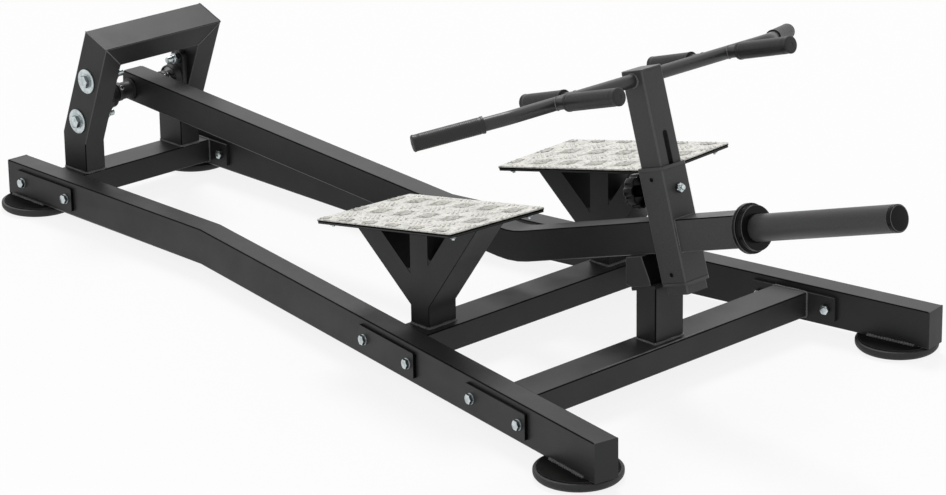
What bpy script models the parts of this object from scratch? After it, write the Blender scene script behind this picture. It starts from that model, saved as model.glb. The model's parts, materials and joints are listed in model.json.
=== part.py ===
"""T-bar row machine: a long lever, hinged low in a rear arch, lifts the plates on its front sleeve.

The floor frame lies along X with its rear end at low X, its left side is at +Y and Z is up.
Sizes are in metres. Each function builds one sub-part in the frame that suits it, and empties
carry those frames: the machine, the lever's pivot, the lever's head, the sliding mast and the
mast's clamp.
"""
import math

import bmesh
import bpy
from mathutils import Matrix, Vector

# Clearances
SEAT = 0.0003
SHAFT_CLEARANCE = 0.0003
SLIDE_CLEARANCE = 0.0003
BOLT_CLEARANCE = 0.0005

# Floor frame: two rails that run parallel at the rear and splay towards the front
RAIL_WIDTH = 0.050
RAIL_HEIGHT = 0.075
RAIL_WALL = 0.0025
RAIL_CORNER = 0.005
RAIL_FLOOR_GAP = 0.019
RAIL_REAR_OFFSET = 0.2122
RAIL_KINK_X = 0.6496
RAIL_SPLAY = math.radians(9.8)
RAIL_FRONT_OVERHANG = 0.2968
RAIL_END_PLATE = 0.003
RAIL_END_CORNER = 0.001
RAIL_END_LAP = 0.0002

# Crossbars between the rails, each bolted through the rail to a plate outside it; the front one
# carries the post under the lever's head
CROSSBAR_WIDTH = 0.075
CROSSBAR_HEIGHT = 0.050
CROSSBAR_WALL = 0.0025
CROSSBAR_CORNER = 0.005
REAR_CROSSBAR_X = 0.1329
CROSSBAR_SPACING = 0.3557
FLANGE_LENGTH = 0.190
FLANGE_HEIGHT = 0.050
FLANGE_THICKNESS = 0.008
FLANGE_VENT_RADIUS = 0.008
CLAMP_PLATE_THICKNESS = 0.006
PLATE_CORNER = 0.004
FRAME_BOLT_SPACING = 0.150
FRAME_BOLT_RADIUS = 0.005
FRAME_BOLT_FLATS = 0.017
FRAME_BOLT_HEAD = 0.0065
FRAME_NUT_HEIGHT = 0.0085
FRAME_WASHER_RADIUS = 0.0105
WASHER_THICKNESS = 0.0018

# Feet: a steel disc welded under each rail end, set in a rubber pad
FOOT_RADIUS = 0.0805
FOOT_CONTACT_RADIUS = 0.0745
FOOT_HEIGHT = 0.0168
FOOT_CURVE_HEIGHT = 0.0067
FOOT_DISC_RADIUS = 0.0735
FOOT_DISC_THICKNESS = 0.005
FOOT_DISC_WELD = 0.0005
REAR_FOOT_X = 0.0725
FRONT_FOOT_SETBACK = 0.083

# Rear arch: two uprights, vertical and then leaning forward, joined by a mitred top bar
ARCH_DEPTH = 0.075
ARCH_THICKNESS = 0.050
ARCH_WALL = 0.0025
ARCH_CORNER = 0.004
ARCH_OFFSET = 0.1292
ARCH_SETBACK = 0.0034
ARCH_KINK_Z = 0.1533
ARCH_LEAN = math.radians(21.51)
ARCH_RUN = 0.2507

# Lever pivot: a shaft in two flanged bearing units on the inner faces of the uprights
PIVOT_UP_LEG = 0.0955
SHAFT_RADIUS = 0.0125
SHAFT_END_GAP = 0.002
SHAFT_CHAMFER = 0.001
SHAFT_BOSS_RADIUS = 0.0165
BEARING_BOLT_SPACING = 0.1035
BEARING_BOLT_RADIUS = 0.007
BEARING_BOLT_FLATS = 0.025
BEARING_BOLT_HEAD = 0.009
BEARING_NUT_FLATS = 0.022
BEARING_NUT_HEIGHT = 0.012
LOCK_COLLAR_RADIUS = 0.0092
LOCK_COLLAR_HEIGHT = 0.004
BEARING_BOLT_TAIL = 0.003
BIG_WASHER_RADIUS = 0.0265
BIG_WASHER_THICKNESS = 0.003
HOUSING_FLANGE = 0.013
HOUSING_DEPTH = 0.027
HOUSING_RADIUS = 0.033
HOUSING_EAR_RADIUS = 0.0155
HOUSING_BOSS_RADIUS = 0.0305
HOUSING_NOSE_RADIUS = 0.0285
OUTER_RING_RADIUS = 0.026
OUTER_RING_WIDTH = 0.015
INNER_RING_RADIUS = 0.0168
INNER_RING_START = 0.0017
INNER_RING_WIDTH = 0.0341
BALL_PLANE = 0.016

# Lever: rear run, one bend, and a rising head that carries the receiver and the sleeve
LEVER_WIDTH = 0.0524
LEVER_HEIGHT = 0.0612
LEVER_WALL = 0.003
CAP_FLANGE = 0.003
CAP_BOSS_GAP = 0.001
LEVER_CORNER = 0.005
LEVER_REST_SLOPE = math.radians(3.62)
LEVER_TAIL = 0.0257
LEVER_REACH = 1.1708
LEVER_RAISE = 0.0039
LEVER_BEND_RADIUS = 0.200
HEAD_RISE_ANGLE = math.radians(16.61)
HEAD_REACH = 0.4255
HEAD_HEIGHT = 0.13045

# Receiver for the mast, with plastic bushings in its mouths
RECEIVER_WIDTH = 0.0625
RECEIVER_WALL = 0.0025
RECEIVER_CORNER = 0.006
RECEIVER_TOP = -0.0068
RECEIVER_BOTTOM = -0.2165
BUSHING_FLANGE = 0.006
BUSHING_OVERHANG = 0.0012
BUSHING_DEPTH = 0.028
BUSHING_SCREW_INSET = 0.0155
BUSHING_SCREW_RADIUS = 0.002
BUSHING_SCREW_HEAD = 0.0042
BUSHING_SCREW_RISE = 0.0012

# Plate sleeve and its collar
SLEEVE_RADIUS = 0.025
SLEEVE_WALL = 0.003
SLEEVE_END = 0.5474
SLEEVE_CAP_LENGTH = 0.009
SLEEVE_CAP_PLUG = 0.014
COLLAR_START = 0.1875
COLLAR_FLANGE_RADIUS = 0.046
COLLAR_FLANGE_THICKNESS = 0.0087
COLLAR_RING_RADIUS = 0.0415
COLLAR_LENGTH = 0.0214
COLLAR_ROUND = 0.0012

# Mast: height measured along it from the top of the receiver
MAST_WIDTH = 0.0535
MAST_WALL = 0.0025
MAST_CORNER = 0.0065
MAST_TOP_ABOVE_BAR = 0.01826
MAST_BOTTOM = -0.240
MAST_CAP_OVERHANG = 0.001
SLOT_WIDTH = 0.012
SLOT_TOP = 0.063
SLOT_BOTTOM = -0.137

# Clamp: a star knob on a bolt through receiver and mast
CLAMP_HEIGHT = -0.046
CLAMP_BOLT_RADIUS = 0.005
CLAMP_NUT_FLATS = 0.016
CLAMP_NUT_HEIGHT = 0.008
CLAMP_BOLT_TAIL = 0.007
KNOB_RADIUS = 0.0325
KNOB_LOBE = 0.0020
KNOB_LOBES = 6
KNOB_THICKNESS = 0.024
KNOB_SHELL = 0.0035
KNOB_HUB_RADIUS = 0.011
KNOB_HUB_LENGTH = 0.028
SPLIT_PIN_RADIUS = 0.0011
SPLIT_PIN_LEG = 0.0115
SPLIT_PIN_SPREAD = math.radians(24)

# Handlebar across the mast, its ends swept back
BAR_RADIUS = 0.0125
BAR_WALL = 0.002
BAR_HEIGHT = 0.16224
BAR_BEND_OFFSET = 0.343
BAR_SWEEP = math.radians(31)
BAR_DROOP = math.radians(1.9)
BAR_SWEPT_RUN = 0.1757
BAR_BEND_RADIUS = 0.060
GRIP_RADIUS = 0.015
GRIP_RIM = 0.0008
GRIP_RIM_WIDTH = 0.004
GRIP_LENGTH = 0.1314
GRIP_END = 0.004
NEUTRAL_BAR_RADIUS = 0.0115
NEUTRAL_FRONT_OFFSET = 0.2258
NEUTRAL_REAR_OFFSET = 0.1677
NEUTRAL_FRONT_REACH = 0.1672
NEUTRAL_REAR_REACH = 0.1423
NEUTRAL_GRIP_START = 0.0355
NEUTRAL_GRIP_RADIUS = 0.016

# Post under the lever's head, with the bumper that the lever rests on
POST_DEPTH = 0.050
POST_WIDTH = 0.075
POST_WALL = 0.0025
POST_LAG = 0.0021
POST_SETBACK = 0.0042
POST_TOP = -0.225
STOP_PLATE_THICKNESS = 0.006
STOP_PLATE_REAR = -0.1067
STOP_PLATE_FRONT = -0.0425
BUMPER_FRONT = -0.0546
BUMPER_NOSE = 0.0095
BUMPER_TOP_FRONT = -0.0634
BUMPER_TOP_REAR = -0.1042
BUMPER_HEEL = -0.1190
BUMPER_HEEL_HEIGHT = 0.0075

# Footplates on three-pronged supports that stand on the middle crossbar
FOOTPLATE_LENGTH = 0.410
FOOTPLATE_WIDTH = 0.224
TREAD_THICKNESS = 0.0045
BASE_THICKNESS = 0.0045
FOOTPLATE_CORNER = 0.004
FOOTPLATE_SETBACK = 0.0091
FOOTPLATE_OFFSET = 0.2447
FOOTPLATE_TOP = 0.2980
FOOTPLATE_YAW = math.radians(4.45)
FOOTPLATE_PITCH = math.radians(10.8)
FOOTPLATE_BOLT_INSET_X = 0.0205
FOOTPLATE_BOLT_INSET_Y = 0.0225
FOOTPLATE_BOLT_RADIUS = 0.003
FOOTPLATE_NUT_FLATS = 0.012
FOOTPLATE_NUT_HEIGHT = 0.0055
FOOTPLATE_STUD_TAIL = 0.0035
SUPPORT_DEPTH = 0.050
SUPPORT_WIDTH = 0.0695
SUPPORT_WALL = 0.0025
SUPPORT_OFFSET = 0.23975
SUPPORT_SETBACK = 0.0066
REAR_PRONG_LEAN = math.radians(50.8)
FRONT_PRONG_LEAN = math.radians(35.8)
REAR_PRONG_FOOT = 0.1182
FRONT_PRONG_FOOT = 0.1245

# Derived heights and directions
X_AXIS = Vector((1, 0, 0))
Y_AXIS = Vector((0, 1, 0))
Z_AXIS = Vector((0, 0, 1))
RAIL_CENTRE_Z = RAIL_FLOOR_GAP + RAIL_HEIGHT / 2
CROSSBAR_TOP = RAIL_CENTRE_Z + CROSSBAR_HEIGHT / 2
FOOT_DISC_TOP = RAIL_FLOOR_GAP + FOOT_DISC_WELD
BASE_TOP = -TREAD_THICKNESS - SEAT
FOOTPLATE_NUT_SEAT = BASE_TOP - BASE_THICKNESS - SEAT
LEG_DIRECTION = Vector((math.sin(ARCH_LEAN), 0, math.cos(ARCH_LEAN)))
LEVER_DIRECTION = Vector((math.cos(LEVER_REST_SLOPE), 0, -math.sin(LEVER_REST_SLOPE)))
LEVER_UP = Vector((math.sin(LEVER_REST_SLOPE), 0, math.cos(LEVER_REST_SLOPE)))
HEAD_DIRECTION = Vector((math.cos(HEAD_RISE_ANGLE), 0, math.sin(HEAD_RISE_ANGLE)))
HEAD_UP = Vector((-math.sin(HEAD_RISE_ANGLE), 0, math.cos(HEAD_RISE_ANGLE)))

ARCH_X = REAR_CROSSBAR_X - ARCH_SETBACK
ARCH_KINK = Vector((ARCH_X, 0, ARCH_KINK_Z))
ARCH_INNER_FACE = ARCH_OFFSET - ARCH_THICKNESS / 2
ARCH_OUTER_FACE = ARCH_OFFSET + ARCH_THICKNESS / 2
PIVOT = ARCH_KINK + PIVOT_UP_LEG * LEG_DIRECTION
LEVER_BEND = LEVER_REACH * LEVER_DIRECTION + LEVER_RAISE * LEVER_UP
HEAD = LEVER_BEND + HEAD_REACH * HEAD_DIRECTION + HEAD_HEIGHT * HEAD_UP
LEVER_UNDERSIDE = -LEVER_HEIGHT / 2 - HEAD_HEIGHT
MAST_TOP = BAR_HEIGHT + MAST_TOP_ABOVE_BAR

POST_X = PIVOT.x + HEAD.x - POST_LAG
FRONT_CROSSBAR_X = POST_X + POST_SETBACK
MIDDLE_CROSSBAR_X = FRONT_CROSSBAR_X - CROSSBAR_SPACING
FOOTPLATE_X = MIDDLE_CROSSBAR_X - FOOTPLATE_SETBACK
CROSSBARS = (("rear", REAR_CROSSBAR_X), ("middle", MIDDLE_CROSSBAR_X), ("front", FRONT_CROSSBAR_X))
RAIL_FRONT_RUN = (FRONT_CROSSBAR_X - RAIL_KINK_X) / math.cos(RAIL_SPLAY) + RAIL_FRONT_OVERHANG
RAIL_KINK_TO_END = Vector((math.cos(RAIL_SPLAY), math.sin(RAIL_SPLAY), 0)) * RAIL_FRONT_RUN
SLEEVE_TIP = PIVOT + HEAD + SLEEVE_END * HEAD_DIRECTION - (HEAD_HEIGHT + SLEEVE_RADIUS) * HEAD_UP
REAR_LIMIT_X = REAR_FOOT_X - FOOT_RADIUS
CENTRE_X = (REAR_LIMIT_X + SLEEVE_TIP.x) / 2

SIDES = (("left", 1), ("right", -1))

# Facets round the turned pieces
HOLE_FACETS = 8
SMALL_BOLT_FACETS = 6
BOLT_FACETS = 12
ROD_FACETS = 16
RING_FACETS = 20
DISC_FACETS = 24
HOUSING_FACETS = 28
KNOB_FACETS = 24
SHARP_ANGLE = math.radians(34)


def clear_scene():
    for item in list(bpy.data.objects):
        bpy.data.objects.remove(item, do_unlink=True)


def finish(name, colour, metallic, roughness):
    """A Principled material for one kind of surface."""
    material = bpy.data.materials.new(name)
    material.use_nodes = True
    shader = material.node_tree.nodes["Principled BSDF"]
    shader.inputs["Base Color"].default_value = (*colour, 1)
    shader.inputs["Metallic"].default_value = metallic
    shader.inputs["Roughness"].default_value = roughness
    return material


def carrier(name, parent=None, matrix=Matrix()):
    """An empty that carries a frame of the machine or the axis of a joint."""
    empty = bpy.data.objects.new(name, None)
    bpy.context.scene.collection.objects.link(empty)
    empty.parent = parent
    empty.matrix_basis = matrix
    return empty


def piece(name, body, material, parent, matrix=Matrix()):
    """Turn a bmesh into a named object, shaded smooth with its real edges kept sharp."""
    bmesh.ops.recalc_face_normals(body, faces=body.faces)
    mesh = bpy.data.meshes.new(name)
    body.to_mesh(mesh)
    body.free()
    mesh.materials.append(material)
    mesh.shade_smooth()
    mesh.set_sharp_from_angle(angle=SHARP_ANGLE)
    item = bpy.data.objects.new(name, mesh)
    bpy.context.scene.collection.objects.link(item)
    item.parent = parent
    item.matrix_basis = matrix
    return item


def cut_with(item, cutter_body, operation="DIFFERENCE"):
    """Cut a piece with solids modelled in its own frame, or join them to it."""
    label = item.name + "_" + operation.lower()
    cutter = piece(label, cutter_body, item.data.materials[0], item.parent, item.matrix_basis)
    cutter.hide_render = True
    cutter.display_type = "WIRE"
    modifier = item.modifiers.new(label, "BOOLEAN")
    modifier.operation = operation
    modifier.object = cutter
    return cutter


def aimed(origin, x_axis, z_axis):
    """Matrix of a frame at origin whose local X and Z point along the given directions."""
    z = Vector(z_axis).normalized()
    y = z.cross(Vector(x_axis)).normalized()
    x = y.cross(z)
    return Matrix.Translation(origin) @ Matrix((x, y, z)).transposed().to_4x4()


def rounded_rectangle(width, height, radius, steps=2):
    """Corner points, counter-clockwise, of a rectangle with round corners."""
    points = []
    for corner, (side_x, side_y) in enumerate(((1, 1), (-1, 1), (-1, -1), (1, -1))):
        centre_x = side_x * (width / 2 - radius)
        centre_y = side_y * (height / 2 - radius)
        for step in range(steps + 1):
            angle = math.radians(90) * (corner + step / steps)
            points.append((centre_x + radius * math.cos(angle), centre_y + radius * math.sin(angle)))
    return points


def tube_profiles(width, height, corner, wall, inner_steps=2):
    """Outer and inner outline of a rectangular tube, point for point where the steps match."""
    inner_corner = max(corner - wall, corner / 4)
    outer = rounded_rectangle(width, height, corner)
    inner = rounded_rectangle(width - 2 * wall, height - 2 * wall, inner_corner, inner_steps)
    return outer, inner


def circle(radius, segments):
    step = math.tau / segments
    return [(radius * math.cos(step * i), radius * math.sin(step * i)) for i in range(segments)]


def drilled(radius, clearance=BOLT_CLEARANCE):
    """Radius of a faceted hole whose flats clear a round shank."""
    return (radius + clearance) / math.cos(math.pi / HOLE_FACETS)


def hexagon(across_flats):
    """Reach of a hexagon at an angle, with a corner at angle zero."""
    def reach(angle):
        return across_flats / 2 / math.cos(angle % math.radians(60) - math.radians(30))
    return reach


def add_rings(body, rings, looped=False):
    """Skin a run of rings; a looped run closes on itself, an open one gets two end faces."""
    verts = [[body.verts.new(point) for point in ring] for ring in rings]
    pairs = list(zip(verts, verts[1:]))
    if looped:
        pairs.append((verts[-1], verts[0]))
    else:
        body.faces.new(verts[0][::-1])
        body.faces.new(verts[-1])
    for low, high in pairs:
        count = len(low)
        for i in range(count):
            j = (i + 1) % count
            body.faces.new((low[i], low[j], high[j], high[i]))


def add_turned(body, levels, segments, bore=False, matrix=Matrix()):
    """A solid turned about Z; each level is a radius, or a reach by angle, and a height."""
    rings = []
    for radius, height in levels:
        ring = []
        for i in range(segments):
            angle = math.tau * i / segments
            reach = radius(angle) if callable(radius) else radius
            ring.append(matrix @ Vector((reach * math.cos(angle), reach * math.sin(angle), height)))
        rings.append(ring)
    add_rings(body, rings, bore)


def add_prism(body, outline, low, high, matrix=Matrix()):
    """An outline in local X and Y carried from one height to another."""
    add_rings(body, [[matrix @ Vector((x, y, z)) for x, y in outline] for z in (low, high)])


def swept_rings(profile, path, side, start_plane=None, end_plane=None):
    """Rings of a profile along straight runs, mitred where two runs meet.

    The profile's second axis follows side, and its first lies across the run.
    """
    runs = [(b - a).normalized() for a, b in zip(path, path[1:])]
    planes = [start_plane or runs[0]]
    planes += [(a + b).normalized() for a, b in zip(runs, runs[1:])]
    planes.append(end_plane or runs[-1])
    rings = []
    for index, (point, plane) in enumerate(zip(path, planes)):
        run = runs[min(index, len(runs) - 1)]
        across = side.cross(run).normalized()
        upright = run.cross(across)
        ring = []
        for u, v in profile:
            start = point + u * across + v * upright
            ring.append(start + run * ((point - start).dot(plane) / run.dot(plane)))
        rings.append(ring)
    return rings


def add_tube(body, profiles, path, side, start_plane=None, end_plane=None):
    """A tube, open at both ends, along a path."""
    outer, inner = (swept_rings(p, path, side, start_plane, end_plane) for p in profiles)
    add_rings(body, outer + inner[::-1], looped=True)


def rail_point(x, side):
    """Point of a rail's centreline above x, and the rail's angle from X there."""
    if x < RAIL_KINK_X:
        return Vector((x, side * RAIL_REAR_OFFSET, RAIL_CENTRE_Z)), 0.0
    y = RAIL_REAR_OFFSET + (x - RAIL_KINK_X) * math.tan(RAIL_SPLAY)
    return Vector((x, side * y, RAIL_CENTRE_Z)), side * RAIL_SPLAY


def rail_frame(x, side):
    """Frame on a rail's centreline: local X along the rail, local Z outwards."""
    point, angle = rail_point(x, side)
    along = Vector((math.cos(angle), math.sin(angle), 0))
    outwards = side * Vector((-math.sin(angle), math.cos(angle), 0))
    return aimed(point, along, outwards)


def rail_path(side, inset=0.0):
    """Centreline of a rail, its two ends drawn in by an inset."""
    kink = Vector((RAIL_KINK_X, side * RAIL_REAR_OFFSET, RAIL_CENTRE_Z))
    run = Vector((RAIL_KINK_TO_END.x, side * RAIL_KINK_TO_END.y, 0))
    rear = Vector((inset, side * RAIL_REAR_OFFSET, RAIL_CENTRE_Z))
    return [rear, kink, kink + run * (1 - inset / RAIL_FRONT_RUN)]


def frame_bolt_places(x, side):
    """Frames of the two frame bolts of one crossbar end, local Z outwards."""
    place = rail_frame(x, side)
    return [place @ Matrix.Translation((end * FRAME_BOLT_SPACING / 2, 0, 0)) for end in (-1, 1)]


def add_end_plate(body, end, inwards):
    """A square-cornered plate, a shade larger than the rail, that closes one end."""
    outline = rounded_rectangle(RAIL_WIDTH + RAIL_END_LAP, RAIL_HEIGHT + RAIL_END_LAP, RAIL_END_CORNER, 1)
    sideways = inwards.cross(Z_AXIS)
    add_prism(body, outline, 0, RAIL_END_PLATE, aimed(end, sideways, inwards))


def build_rails(machine, paint):
    """Bent box-section rails with welded end plates and a foot disc under each end."""
    outer, inner = tube_profiles(RAIL_WIDTH, RAIL_HEIGHT, RAIL_CORNER, RAIL_WALL, inner_steps=1)
    for word, side in SIDES:
        body = bmesh.new()
        add_rings(body, swept_rings(outer, rail_path(side), Z_AXIS))
        rail = piece("rail_" + word, body, paint, machine)
        discs = bmesh.new()
        for _, point in foot_places(side):
            heights = (FOOT_DISC_TOP - FOOT_DISC_THICKNESS, FOOT_DISC_TOP)
            levels = [(FOOT_DISC_RADIUS, height) for height in heights]
            add_turned(discs, levels, DISC_FACETS, matrix=Matrix.Translation(point))
        cut_with(rail, discs, "UNION")
        plates = bmesh.new()
        rear, kink, front = rail_path(side)
        add_end_plate(plates, rear, X_AXIS)
        add_end_plate(plates, front, (kink - front).normalized())
        cut_with(rail, plates, "UNION")
        cavity = bmesh.new()
        add_rings(cavity, swept_rings(inner, rail_path(side, RAIL_END_PLATE), Z_AXIS))
        cut_with(rail, cavity)
        holes = bmesh.new()
        radius = drilled(FRAME_BOLT_RADIUS)
        for _, x in CROSSBARS:
            for place in frame_bolt_places(x, side):
                add_turned(holes, [(radius, -RAIL_WIDTH), (radius, RAIL_WIDTH)], HOLE_FACETS, matrix=place)
        cut_with(rail, holes)


def build_crossbar(name, x, machine, paint):
    """A box-section crossbar with a bolted flange, vented at its middle, welded on each end."""
    outer, inner = tube_profiles(CROSSBAR_HEIGHT, CROSSBAR_WIDTH, CROSSBAR_CORNER, CROSSBAR_WALL, inner_steps=1)
    centre, angle = rail_point(x, 1)
    planes = [Vector((way * math.sin(angle), math.cos(angle), 0)) for way in (1, -1)]
    face = RAIL_WIDTH / 2 + SEAT
    bar, cavity = bmesh.new(), bmesh.new()
    for target, profile, depth in ((bar, outer, FLANGE_THICKNESS / 2), (cavity, inner, FLANGE_THICKNESS)):
        end = Vector((x, centre.y - (face + depth) / math.cos(angle), RAIL_CENTRE_Z))
        start = Vector((x, -end.y, RAIL_CENTRE_Z))
        add_rings(target, swept_rings(profile, [start, end], X_AXIS, *planes))
    crossbar = piece(name, bar, paint, machine)
    flanges, holes = bmesh.new(), bmesh.new()
    outline = rounded_rectangle(FLANGE_LENGTH, FLANGE_HEIGHT, PLATE_CORNER, 1)
    hole = drilled(FRAME_BOLT_RADIUS)
    for _, side in SIDES:
        add_prism(flanges, outline, -face - FLANGE_THICKNESS, -face, rail_frame(x, side))
        for place in frame_bolt_places(x, side):
            add_turned(holes, [(hole, -2 * face), (hole, 0)], HOLE_FACETS, matrix=place)
        vent = [(FLANGE_VENT_RADIUS, -2 * face), (FLANGE_VENT_RADIUS, 0)]
        add_turned(holes, vent, HOLE_FACETS, matrix=rail_frame(x, side))
    cut_with(crossbar, flanges, "UNION")
    cut_with(crossbar, cavity)
    cut_with(crossbar, holes)


def build_clamp_plate(name, x, side, machine, paint):
    """A plate outside the rail, carrying the two bolts whose nuts hold the crossbar's flange."""
    face = RAIL_WIDTH / 2 + SEAT
    outside = face + CLAMP_PLATE_THICKNESS
    body, bolts = bmesh.new(), bmesh.new()
    outline = rounded_rectangle(FLANGE_LENGTH, FLANGE_HEIGHT, PLATE_CORNER, 1)
    add_prism(body, outline, face, outside, rail_frame(x, side))
    plate = piece(name, body, paint, machine)
    for place in frame_bolt_places(x, side):
        add_fastener(bolts, place, FRAME_BOLT_RADIUS, outside - SEAT, FRAME_WASHER_RADIUS, WASHER_THICKNESS,
                     FRAME_BOLT_FLATS, FRAME_BOLT_HEAD, -face - FLANGE_THICKNESS - SEAT,
                     FRAME_BOLT_FLATS, FRAME_NUT_HEIGHT)
    cut_with(plate, bolts, "UNION")


def add_fastener(body, place, radius, head_seat, washer, washer_thickness, head_flats, head_height,
                 nut_seat, nut_flats, nut_height, tip=()):
    """A bolt along local Z: its head and washer at the top, its shank, and its nut below.

    tip holds a radius and a depth under the nut for each level past it, the lowest first.
    """
    head_base = head_seat + washer_thickness
    nut_end = nut_seat - nut_height
    levels = [(reach, nut_end - depth) for reach, depth in tip]
    levels += [
        (hexagon(nut_flats), nut_end),
        (hexagon(nut_flats), nut_seat),
        (radius, nut_seat),
        (radius, head_seat),
        (washer, head_seat),
        (washer, head_base),
        (hexagon(head_flats), head_base),
        (hexagon(head_flats), head_base + head_height),
    ]
    add_turned(body, levels, BOLT_FACETS, matrix=place)


def foot_places(side):
    """End word and floor point of the two feet of one rail."""
    rear, _ = rail_point(REAR_FOOT_X, side)
    front_x = RAIL_KINK_X + (RAIL_FRONT_RUN - FRONT_FOOT_SETBACK) * math.cos(RAIL_SPLAY)
    front, _ = rail_point(front_x, side)
    return [("rear", Vector((rear.x, rear.y, 0))), ("front", Vector((front.x, front.y, 0)))]


def build_foot_pads(machine, rubber):
    """Rubber pads, each with a recess for the steel disc that it is pushed onto."""
    recess = FOOT_DISC_TOP - FOOT_DISC_THICKNESS - SEAT
    lip = FOOT_DISC_RADIUS + SEAT
    levels = [
        (FOOT_CONTACT_RADIUS, 0),
        (FOOT_RADIUS, FOOT_CURVE_HEIGHT),
        (FOOT_RADIUS, FOOT_HEIGHT),
        (lip, FOOT_HEIGHT),
        (lip, recess),
    ]
    for word, side in SIDES:
        for end, point in foot_places(side):
            body = bmesh.new()
            add_turned(body, levels, DISC_FACETS)
            piece("foot_pad_" + end + "_" + word, body, rubber, machine, Matrix.Translation(point))


def arch_top_centre(side):
    """Corner of the arch where an upright's centreline meets the top bar's."""
    corner = ARCH_KINK + (ARCH_RUN - ARCH_THICKNESS / 2) * LEG_DIRECTION
    return Vector((corner.x, side * ARCH_OFFSET, corner.z))


def bearing_bolt_places(side):
    """End word and frame of the two bearing bolts of one side, local Z outwards."""
    places = []
    for word, end in (("lower", -1), ("upper", 1)):
        point = PIVOT + end * BEARING_BOLT_SPACING / 2 * LEG_DIRECTION
        places.append((word, aimed(Vector((point.x, 0, point.z)), LEG_DIRECTION, Vector((0, side, 0)))))
    return places


def build_arch(machine, paint):
    """Two kinked uprights on the rear crossbar and the bar that joins their tops."""
    profiles = tube_profiles(ARCH_DEPTH, ARCH_THICKNESS, ARCH_CORNER, ARCH_WALL)
    for word, side in SIDES:
        foot = Vector((ARCH_X, side * ARCH_OFFSET, CROSSBAR_TOP + SEAT))
        kink = Vector((ARCH_X, side * ARCH_OFFSET, ARCH_KINK_Z))
        mitre = (LEG_DIRECTION - side * Y_AXIS).normalized()
        body = bmesh.new()
        add_tube(body, profiles, [foot, kink, arch_top_centre(side)], Y_AXIS, end_plane=mitre)
        upright = piece("arch_upright_" + word, body, paint, machine)
        holes = bmesh.new()
        radius = drilled(BEARING_BOLT_RADIUS)
        for _, place in bearing_bolt_places(side):
            ends = [(radius, ARCH_INNER_FACE - 0.01), (radius, ARCH_OUTER_FACE + 0.01)]
            add_turned(holes, ends, HOLE_FACETS, matrix=place)
        cut_with(upright, holes)
    left, right = arch_top_centre(1), arch_top_centre(-1)
    gap = SEAT * math.sqrt(2) * Y_AXIS
    body = bmesh.new()
    add_tube(body, profiles, [left - gap, right + gap], LEG_DIRECTION,
             (LEG_DIRECTION - Y_AXIS).normalized(), (LEG_DIRECTION + Y_AXIS).normalized())
    piece("arch_top_bar", body, paint, machine)


def housing_reach(angle):
    """Outline of a two-bolt bearing flange: a round centre with straight tapers to two ears."""
    ear = BEARING_BOLT_SPACING / 2
    taper = math.acos((HOUSING_RADIUS - HOUSING_EAR_RADIUS) / ear)
    swing = abs(math.remainder(angle, math.pi))
    if swing > taper:
        return HOUSING_RADIUS
    ear_half = math.atan2(HOUSING_EAR_RADIUS * math.sin(taper), ear + HOUSING_EAR_RADIUS * math.cos(taper))
    if swing > ear_half:
        return HOUSING_RADIUS / math.cos(taper - swing)
    chord = ear * math.sin(swing)
    return ear * math.cos(swing) + math.sqrt(HOUSING_EAR_RADIUS ** 2 - chord ** 2)


def bearing_frame(side):
    """Frame of a bearing unit on an upright's inner face, local Z towards the lever."""
    seat = Vector((PIVOT.x, side * (ARCH_INNER_FACE - SEAT), PIVOT.z))
    return aimed(seat, LEG_DIRECTION, Vector((0, -side, 0)))


def build_bearing(word, side, machine, pivot, iron, steel):
    """A flanged housing and outer ring on the arch, and an inner ring on the lever's shaft."""
    place = bearing_frame(side)
    bore = OUTER_RING_RADIUS + SEAT
    body = bmesh.new()
    levels = [
        (bore, 0),
        (housing_reach, 0),
        (housing_reach, HOUSING_FLANGE),
        (HOUSING_BOSS_RADIUS, HOUSING_FLANGE),
        (HOUSING_NOSE_RADIUS, HOUSING_DEPTH),
        (bore, HOUSING_DEPTH),
    ]
    add_turned(body, levels, HOUSING_FACETS, bore=True)
    housing = piece("bearing_housing_" + word, body, iron, machine, place)
    holes = bmesh.new()
    for end in (-1, 1):
        spot = Matrix.Translation((end * BEARING_BOLT_SPACING / 2, 0, 0))
        radius = drilled(BEARING_BOLT_RADIUS)
        add_turned(holes, [(radius, -HOUSING_DEPTH), (radius, HOUSING_DEPTH)], HOLE_FACETS, matrix=spot)
    cut_with(housing, holes)

    race = INNER_RING_RADIUS + SHAFT_CLEARANCE
    low = BALL_PLANE - OUTER_RING_WIDTH / 2
    high = BALL_PLANE + OUTER_RING_WIDTH / 2
    ring = bmesh.new()
    levels = [(race, low), (OUTER_RING_RADIUS, low), (OUTER_RING_RADIUS, high), (race, high)]
    add_turned(ring, levels, RING_FACETS, bore=True)
    piece("bearing_outer_ring_" + word, ring, steel, machine, place)

    shaft_bore = SHAFT_RADIUS + SHAFT_CLEARANCE
    low = INNER_RING_START
    high = INNER_RING_START + INNER_RING_WIDTH
    levels = [
        (shaft_bore, low),
        (INNER_RING_RADIUS, low),
        (INNER_RING_RADIUS, high),
        (shaft_bore, high),
    ]
    ring = bmesh.new()
    add_turned(ring, levels, RING_FACETS, bore=True)
    piece("bearing_inner_ring_" + word, ring, steel, pivot, Matrix.Translation(-PIVOT) @ place)


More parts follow.
